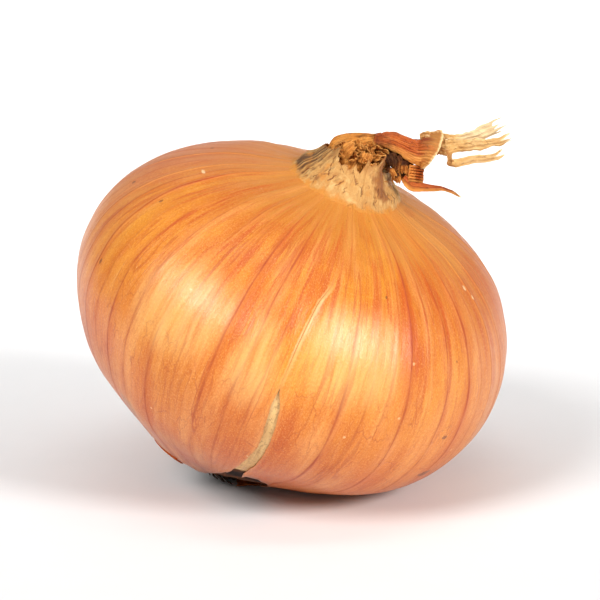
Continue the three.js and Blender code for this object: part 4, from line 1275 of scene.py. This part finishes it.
def outer_skin_finish(shared):
    """Satin copper-orange paper: thin dark veins in soft darker streaks, a parchment grain and a faint
    net of cracks."""
    material, n, shader = new_finish("satin outer skin", Specular_IOR_Level=0.42, Sheen_Weight=0.01,
                                     Sheen_Roughness=0.45, Sheen_Tint=(1, 0.82, 0.74, 1), Coat_Roughness=0.3)
    skin_map = n.uv("skin_map")
    skin_x = n.add("ShaderNodeSeparateXYZ", {0: skin_map}).outputs[0]
    up, darkness, ridge, from_split, rim = (
        n.value(name) for name in ("up", "darkness", "ridge", "from_split", "rim"))
    fibres = n.group(shared["fibres"], Map=skin_map, Fineness=8.0, Length=1.1, Wander=0.12)
    broad = n.group(shared["fibres"], Map=skin_map, Fineness=2.3, Length=0.3, Wander=0.3)
    grain = n.noise(n.stretched(skin_map, 30, 26), 1.0, detail=3.0, roughness=0.7)
    coarse_grain = n.noise(n.stretched(skin_map, 9, 9), 1.0, detail=4.0, roughness=0.65)
    clouds = n.noise(n.stretched(skin_map, 1.1, 0.4), 1.0, detail=4.0)
    distance, flanks, veins, vein_heart, streaks = main_veins(n, skin_map, fibres, darkness)
    fine_veins, threads = fine_veins_and_threads(n, skin_map, broad)
    net, crackle = crack_nets(n, shared, skin_map, up)
    # crest: the raised band beside a ridged vein, lifted by the bump and painted pale as a highlight
    crest = n.times(n.rescale(n.absolute(n.minus(distance, 0.7)), 0.5, 0.1), ridge)
    lips, split_shadow_line = split_lips(n, up, coarse_grain, from_split)
    # pale dusty fibres on the weathered sides
    # dull pinkish-brown dusty fibres on the sides and back, away from the split: partly dust, partly painted
    # sheen and shade where the skin turns away at the outline
    sides = n.rescale(n.absolute(n.minus(n.math("PINGPONG", skin_x, 18.0), 0.2)), 5.2, 8.0)
    dusty = n.times(sides, n.rescale(fibres["Coarse"], 0.36, 0.66, 0.25, 0.85))
    # pale fingers that reach down from the collar
    fingers = n.plus(up, n.rescale(broad["Fine"], 0.3, 0.7, -0.05, 0.05))
    fingers = n.plus(fingers, n.rescale(coarse_grain, 0.3, 0.7, -0.02, 0.02))
    fingers = n.times(n.rescale(fingers, 0.8, 0.94, 0.0, 0.85, smooth=True),
                      n.rescale(fibres["Coarse"], 0.34, 0.56, 0.55, 1.0))

    base = n.layers(
        skin_ground(n, shared, skin_map, up, clouds, broad),
        (n.times(dusty, 0.75), SKIN_SIDE_DUST_SHEEN_SHADE),
        (n.rescale(fibres["Coarse"], 0.54, 0.74, 0.0, 0.3), SKIN_PALE),
        (n.rescale(fibres["Coarse"], 0.46, 0.28, 0.0, 0.3), SKIN_DEEP),
        (n.rescale(grain, 0.5, 0.72, 0.0, 0.5), SKIN_FLECK_AND_HIGHLIGHT),
        (n.rescale(grain, 0.48, 0.28, 0.0, 0.38), SKIN_DEEP),
        (n.rescale(coarse_grain, 0.46, 0.3, 0.0, 0.25), SKIN_DEEP),
        (n.times(crackle, 0.12), SKIN_VEIN),
        (n.times(threads, 0.4), SKIN_VEIN),
        (n.times(fine_veins, 0.55), SKIN_VEIN),
        (n.times(net, 0.42), SKIN_VEIN),
        (n.times(streaks, n.rescale(up, 0.25, 0.6, 0.5, 0.9)), SKIN_DEEP),
        (n.times(veins, 0.76), SKIN_VEIN),
        (n.times(vein_heart, 0.5), colour(156, 50, 10)),
        # pale along the raised vein ridges: a painted highlight
        (n.times(crest, 0.35, clamp=True), SKIN_FLECK_AND_HIGHLIGHT),
        (n.times(lips, 0.55), colour(244, 190, 116)),
        (n.times(split_shadow_line, 0.6), colour(140, 70, 26)),
    )
    base = thin_skin_and_painted_highlights(n, base, skin_map, clouds, fibres)
    base = blemishes(n, base, shared, skin_map)
    base = n.layers(base, (n.times(rim, 0.8), colour(150, 78, 34)), (fingers, COLLAR_HEM))
    n.feed(shader.inputs["Base Color"], base)

    rough = n.total(n.rescale(coarse_grain, 0.3, 0.7, 0.4, 0.29), (veins, 0.25), (dusty, 0.15))
    n.feed(shader.inputs["Roughness"], n.plus(rough, n.rescale(up, 0.84, 0.93, 0.0, 0.2)))
    n.feed(shader.inputs["Coat Weight"], n.rescale(clouds, 0.35, 0.6, 0.1, 0.28))
    height = n.total(
        n.times(fibres["Coarse"], 0.4), (coarse_grain, 0.5), (grain, 0.22), (crackle, -0.08),
        (n.times(flanks, darkness), 0.25), (crest, 0.3), (fine_veins, 0.15), (net, 0.12), (lips, 0.4))
    n.feed(shader.inputs["Normal"], n.bump(height, 0.0002, 0.7))
    return material


def inner_skin_finish(shared):
    """Moist, pale green-straw skin of the bulb, streaked along its length, brown by the roots, and with a
    near-black band of painted shade just under the outer skin's torn rim.
    """
    material, n, shader = new_finish("pale inner skin", Specular_IOR_Level=0.2, Coat_Roughness=0.2)
    skin_map = n.uv("skin_map")
    place = n.add("ShaderNodeTexCoord").outputs["Object"]
    up = n.value("up")
    fibres = n.group(shared["fibres"], Map=skin_map, Fineness=7.0, Length=0.5, Wander=0.2)
    ragged_up = n.plus(up, n.rescale(n.noise(place, 500.0, detail=3.0), 0.3, 0.7, -0.012, 0.012))
    base = n.blend(n.rescale(up, 0.24, 0.34), colour(220, 176, 112), colour(232, 190, 126))
    base = n.blend(n.rescale(fibres["Coarse"], 0.5, 0.75, 0, 0.5), base, colour(248, 222, 168))
    patches = n.group(shared["mottle"], Place=place, Scale=260.0, Middle=0.52, Softness=0.12)["Mask"]
    base = n.blend(n.times(patches, 0.45), base, colour(196, 142, 84))
    base = n.blend(n.rescale(fibres["Fine"], 0.54, 0.68, 0, 0.45), base, colour(156, 104, 56))
    speckle = n.noise(place, 1900.0, detail=2.0)
    base = n.blend(n.rescale(speckle, 0.52, 0.66, 0, 0.5), base, colour(150, 100, 54))
    fresh = n.rescale(ragged_up, 0.194, 0.21)
    # brown root end, then a near-black band at 0.13 to 0.165: painted shade under the outer skin's torn rim
    root_end_and_rim_shade = ramp(n, ragged_up, [
        (0.03, colour(70, 40, 24)), (0.09, colour(96, 54, 28)), (0.13, colour(34, 12, 5)),
        (0.165, colour(22, 6, 2)), (0.194, colour(84, 44, 18)),
    ])
    dusty = n.times(n.rescale(fibres["Coarse"], 0.44, 0.62, 0, 0.6), n.rescale(ragged_up, 0.14, 0.08))
    root_end_and_rim_shade = n.blend(dusty, root_end_and_rim_shade, colour(150, 100, 62))
    base = n.blend(fresh, root_end_and_rim_shade, base)
    n.feed(shader.inputs["Base Color"], base)
    n.feed(shader.inputs["Roughness"], n.minus(n.rescale(fibres["Coarse"], 0.3, 0.7, 0.84, 0.95),
                                              n.times(fresh, 0.42)))
    n.feed(shader.inputs["Coat Weight"], n.times(n.rescale(fibres["Fine"], 0.3, 0.6, 0.1, 0.3), fresh))
    n.feed(shader.inputs["Normal"], n.bump(fibres["Coarse"], 0.00015, 0.8))
    return material


def leaf_finish(shared, name, tints, fineness=2.2, streak=0.7, rough=0.6, cracks=0.4, spots=0.3, sheen=0.04,
                relief=0.0003, shine=0.3, crack_size=1.0):
    """Dry leaf. tints are the main colour, paler fibres, darker fibres, stains, torn rim and browned."""
    main, pale, dark, stain, rim_tint, browned = tints
    material, n, shader = new_finish(name, Specular_IOR_Level=shine, Sheen_Weight=sheen, Sheen_Roughness=0.5,
                                     Sheen_Tint=(1, 0.9, 0.8, 1))
    leaf_map = n.uv("leaf_map")
    place = n.add("ShaderNodeTexCoord").outputs["Object"]
    fibres = n.group(shared["fibres"], Map=leaf_map, Fineness=fineness, Length=0.16, Wander=0.5)
    clouds = n.group(shared["mottle"], Place=place, Scale=190.0, Middle=0.5, Softness=0.2)["Mask"]
    tone = n.plus(n.value("tone"), n.rescale(clouds, 0, 1, -0.18, 0.18))
    tone = n.rescale(tone, 0.0, 1.2, 0.0, 1.2)
    main_tone = n.blend(tone, main, browned)
    base = n.blend(n.times(clouds, 0.4), main_tone, n.blend(tone, pale, main))
    base = n.blend(n.rescale(fibres["Coarse"], 0.5, 0.7, 0, streak), base, n.blend(tone, pale, main))
    base = n.blend(n.rescale(fibres["Coarse"], 0.48, 0.32, 0, streak), base, n.blend(tone, dark, stain))
    base = n.blend(n.rescale(fibres["Fine"], 0.48, 0.34, 0, 0.6 * streak), base, dark)
    grain = n.noise(place, 2600.0, detail=2.0)
    base = n.blend(n.rescale(grain, 0.5, 0.7, 0, 0.3), base, pale)
    stains = n.group(shared["mottle"], Place=place, Scale=420.0, Middle=0.62, Softness=0.07)["Mask"]
    base = n.blend(n.times(stains, spots), base, stain)
    split = n.group(shared["cracks"], Map=n.stretched(leaf_map, 0.9, 0.42), Scale=1.5 / crack_size,
                    Width=0.05 / crack_size, Share=0.45)["Mask"]
    split = n.times(split, cracks)
    base = n.blend(split, base, stain)
    rim = n.value("rim")
    ragged_rim = n.rescale(n.plus(rim, n.rescale(fibres["Fine"], 0.3, 0.7, -0.25, 0.25)), 0.35, 0.85)
    base = n.blend(n.times(ragged_rim, 0.65), base, rim_tint)
    # near-black where the tone value reaches 0.9 to 1: painted shade of the hollow under the bell
    painted_hollow_shade = n.times(n.rescale(n.value("tone"), 0.9, 1.0), n.rescale(clouds, 0.0, 0.5, 0.94, 0.75))
    base = n.blend(painted_hollow_shade, base, colour(30, 9, 4))
    n.feed(shader.inputs["Base Color"], base)
    n.feed(shader.inputs["Roughness"], n.rescale(fibres["Coarse"], 0.3, 0.7, rough + 0.08, rough - 0.1))
    height = n.plus(n.times(fibres["Coarse"], 0.7), n.times(fibres["Fine"], 0.4))
    height = n.plus(height, n.times(split, -0.6))
    height = n.plus(height, n.times(n.noise(place, 1400.0), 0.3))
    n.feed(shader.inputs["Normal"], n.bump(height, relief, 0.8))
    return material, n, shader, base


def collar_finish(shared):
    """Bleached cream collar: the general dry leaf, with a dark smudge on its left, painted shade in the
    tucked fold on its right, splits, and a hem that takes the colour of the skin it lies on."""
    material, n, shader, base = leaf_finish(shared, "bleached collar", (
        colour(194, 138, 72), colour(220, 178, 110), colour(160, 98, 44), colour(116, 62, 24),
        colour(160, 100, 48), colour(150, 92, 42)), fineness=3.2, streak=0.3, rough=0.6, cracks=0.75,
        spots=0.4, crack_size=2.4)
    place = n.add("ShaderNodeTexCoord").outputs["Object"]
    fibres = n.group(shared["fibres"], Map=n.uv("leaf_map"), Fineness=4.0, Length=0.16, Wander=0.4)
    ragged = n.rescale(n.noise(place, 520.0, detail=4.0), 0.3, 0.7, -0.3, 0.3)
    blotches = n.noise(place, 460.0, detail=5.0)
    base = n.blend(n.rescale(blotches, 0.52, 0.64, 0, 0.45, smooth=True), base, colour(234, 194, 128))
    base = n.blend(n.rescale(blotches, 0.46, 0.34, 0, 0.45, smooth=True), base, colour(162, 98, 42))
    smudge = n.rescale(n.plus(n.value("smudge"), ragged), 0.15, 0.6, smooth=True)
    smudge = n.times(smudge, n.rescale(fibres["Coarse"], 0.4, 0.56, 0.1, 0.95))
    base = n.blend(smudge, base, colour(80, 46, 20))
    # painted shade in the tucked fold on the right
    shade = n.rescale(n.plus(n.value("shade"), ragged), 0.35, 0.85, smooth=True)
    base = n.blend(n.times(shade, 0.8), base, colour(140, 76, 28))
    patch = n.rescale(n.noise(place, 420.0, detail=5.0), 0.36, 0.64, -0.5, 0.5)
    skirt = n.rescale(n.plus(n.value("skirt"), n.plus(patch, n.times(ragged, 0.6))),
                      0.1, 0.9, smooth=True)
    base = n.blend(n.times(skirt, 0.95), base, COLLAR_HEM)
    base = n.blend(n.rescale(n.plus(n.value("crack"), ragged), 0.35, 0.9, 0, 0.85), base, colour(112, 58, 20))
    n.feed(shader.inputs["Base Color"], base)
    return material


def bell_finish(shared):
    """Red-brown leaf that ends in a bell: lighter along its lower side, straw-brown towards its mouth
    and pale on its rolled lip."""
    material, n, shader, base = leaf_finish(shared, "red-brown leaf", (
        colour(168, 70, 18), colour(216, 116, 40), colour(106, 38, 10), colour(58, 22, 8),
        colour(232, 176, 108), colour(110, 50, 20)), fineness=4.2, streak=0.62, rough=0.5, cracks=0.5,
        spots=0.6, sheen=0.02)
    place = n.add("ShaderNodeTexCoord").outputs["Object"]
    spread = n.add("ShaderNodeSeparateXYZ", {0: n.uv("leaf_share")}).outputs
    streaks = n.noise(n.stretched(n.uv("leaf_map"), 0.8, 0.12), 1.0, detail=3.0)
    low_side = n.rescale(n.plus(spread[0], n.rescale(streaks, 0.3, 0.7, -0.2, 0.2)), 0.42, 0.66, 0.0, 0.85)
    base = n.blend(low_side, base, colour(250, 170, 82))
    dark = n.group(shared["mottle"], Place=place, Scale=150.0, Middle=0.54, Softness=0.1)["Mask"]
    base = n.blend(n.times(dark, 0.7), base, colour(104, 36, 10))
    mouth = n.rescale(n.plus(spread[1], n.rescale(streaks, 0.3, 0.7, -0.1, 0.1)), 0.74, 0.9, 0.0, 0.6)
    base = n.blend(mouth, base, colour(200, 140, 66))
    lip = n.rescale(n.plus(spread[1], n.rescale(streaks, 0.3, 0.7, -0.01, 0.01)), 0.955, 0.985, 0.0, 0.8)
    base = n.blend(lip, base, colour(246, 214, 154))
    n.feed(shader.inputs["Base Color"], base)
    return material


def root_finish(shared):
    """Near-black brown cork and threads, dusted with dry earth."""
    material, n, shader = new_finish("dead roots", Specular_IOR_Level=0.3, Sheen_Weight=0.1,
                                     Sheen_Roughness=0.6)
    place = n.add("ShaderNodeTexCoord").outputs["Object"]
    fibres = n.group(shared["fibres"], Map=n.uv("leaf_map"), Fineness=3.0, Length=0.6, Wander=0.4)
    base = n.blend(n.rescale(fibres["Coarse"], 0.35, 0.65), colour(28, 15, 8), colour(88, 54, 30))
    crust = n.group(shared["mottle"], Place=place, Scale=600.0, Middle=0.56, Softness=0.08)["Mask"]
    base = n.blend(n.times(crust, 0.5), base, colour(142, 104, 66))
    pits = n.group(shared["spots"], Place=place, Scale=900.0, Share=0.4, Size=0.35)["Mask"]
    base = n.blend(n.times(pits, 0.7), base, colour(16, 9, 5))
    n.feed(shader.inputs["Base Color"], base)
    n.feed(shader.inputs["Roughness"], n.rescale(fibres["Fine"], 0.3, 0.7, 0.9, 0.7))
    height = n.plus(fibres["Coarse"], n.times(n.noise(place, 1500.0), 0.8))
    n.feed(shader.inputs["Normal"], n.bump(height, 0.0004, 0.9))
    return material


def make_finishes():
    """Every finish, by its slot."""
    shared = {"fibres": dry_fibres_group(), "spots": dry_spots_group(), "mottle": mottle_group(),
              "cracks": dry_cracks_group(), "mark": mark_group()}
    neck = leaf_finish(shared, "fibrous neck leaves", (
        colour(212, 128, 46), colour(240, 174, 90), colour(146, 66, 18), colour(50, 16, 5),
        colour(232, 166, 88), colour(112, 44, 12)), fineness=3.4, streak=0.7, rough=0.6, cracks=0.5,
        spots=0.5, relief=0.0004, sheen=0.01, shine=0.15)[0]
    straw = leaf_finish(shared, "straw leaf", (
        colour(208, 152, 78), colour(242, 204, 140), colour(166, 106, 46), colour(142, 80, 30),
        colour(252, 230, 186), colour(160, 90, 32)), fineness=3.0, streak=0.5, rough=0.5, cracks=0.6,
        spots=0.3, sheen=0.06)[0]
    flap = leaf_finish(shared, "brown root flap", (
        colour(176, 78, 30), colour(212, 112, 52), colour(96, 34, 12), colour(50, 16, 6),
        colour(170, 86, 36), colour(60, 26, 10)), fineness=1.4, rough=0.8, cracks=0.4, spots=0.4,
        sheen=0.0, shine=0.1)[0]
    return {
        "outer_skin": outer_skin_finish(shared), "inner_skin": inner_skin_finish(shared),
        "collar_skin": collar_finish(shared), "neck_tissue": neck, "brown_leaf": bell_finish(shared),
        "straw_leaf": straw, "roots": root_finish(shared), "brown_flap": flap,
    }


# ---- floor, light and camera ----
def lay_floor():
    """A plain pale floor that rises into a far backdrop."""
    profile = [(-3.0, 0.0), (1.6, 0.0), (2.2, 0.06), (2.6, 0.3), (2.75, 0.8), (2.8, 2.6)]
    mesh = bpy.data.meshes.new("floor")
    vertices = [(x, y, z) for y, z in profile for x in (-3.0, 3.0)]
    faces = [(2 * i, 2 * i + 1, 2 * i + 3, 2 * i + 2) for i in range(len(profile) - 1)]
    mesh.from_pydata(vertices, [], faces)
    mesh.shade_smooth()
    floor = bpy.data.objects.new("floor", mesh)
    bpy.context.collection.objects.link(floor)
    paint, n, shader = new_finish("matt floor", Roughness=0.9, Specular_IOR_Level=0.2)
    grain = n.noise(n.add("ShaderNodeTexCoord").outputs["Object"], 60.0)
    n.feed(shader.inputs["Base Color"], n.blend(grain, (0.84, 0.84, 0.84, 1), (0.87, 0.87, 0.87, 1)))
    mesh.materials.append(paint)


# Lamps: [name, direction from the thing it lights, distance, width, watts].
ONION_LAMPS = [
    ("left_light", (-0.52, -0.58, 0.63), 1.6, 0.7, 18.0),
    ("right_light", (0.68, -0.58, 0.44), 1.6, 0.52, 20.0),
]
BACKDROP_LAMP = ("backdrop_light", (0, -0.6, 0.8), 1.125, 1.4, 9.0)
BACKDROP_SPOT = (0, 1.12, 0)
CAMERA_LENS = 216.7
CAMERA_DISTANCE = 0.65
CAMERA_DOWN = 15  # degrees that it looks down
AIM_ASIDE, AIM_UP = 1.64 * MM, 2.59 * MM  # from the middle of the bulb to the middle of the view


def hang_lamp(name, direction, distance, width, watts, lit):
    """A round soft lamp that shines on the place lit."""
    lamp = bpy.data.lights.new(name, "AREA")
    lamp.shape = "DISK"
    lamp.size = width
    lamp.energy = watts
    holder = bpy.data.objects.new(name, lamp)
    holder.location = lit + Vector(direction).normalized() * distance
    holder.rotation_euler = Vector(direction).to_track_quat("Z", "Y").to_euler()
    bpy.context.collection.objects.link(holder)
    return lamp


def light_room(middle):
    """Two lamps on the onion, one on the backdrop and a dim white room."""
    for lamp in ONION_LAMPS:
        hang_lamp(*lamp, middle)
    hang_lamp(*BACKDROP_LAMP, Vector(BACKDROP_SPOT)).spread = math.radians(90)
    room = bpy.data.worlds.new("studio")
    room.use_nodes = True
    background = room.node_tree.nodes["Background"]
    background.inputs["Color"].default_value = (1, 1, 1, 1)
    background.inputs["Strength"].default_value = 0.25
    bpy.context.scene.world = room
    bpy.context.scene.view_settings.view_transform = "Standard"


def set_up_camera(middle):
    camera_data = bpy.data.cameras.new("camera")
    camera_data.lens = CAMERA_LENS
    camera_data.sensor_width = 36
    camera = bpy.data.objects.new("camera", camera_data)
    down = math.radians(CAMERA_DOWN)
    view_up = Vector((0, math.sin(down), math.cos(down)))
    towards_camera = Vector((0, -math.cos(down), math.sin(down)))
    aim = middle + Vector((AIM_ASIDE, 0, 0)) + view_up * AIM_UP
    camera.location = aim + towards_camera * CAMERA_DISTANCE
    camera.rotation_euler = (math.radians(90) - down, 0, 0)
    bpy.context.collection.objects.link(camera)
    bpy.context.scene.camera = camera


finishes = make_finishes()
for make in (
    bulb, outer_skin, neck_collar, neck_sheath, bent_leaf, straw_leaf_front, straw_leaf_back, curled_strip,
    pleated_fold, pointed_shred, torn_flakes, neck_shreds, hollow_shade_shreds, root_plate, dead_roots,
    root_flap_left, root_flap_front, lay_floor,
):
    make()
bulb_middle = Vector(PLACE @ Vector((0, 0, 0))) * MM
light_room(bulb_middle)
set_up_camera(bulb_middle)
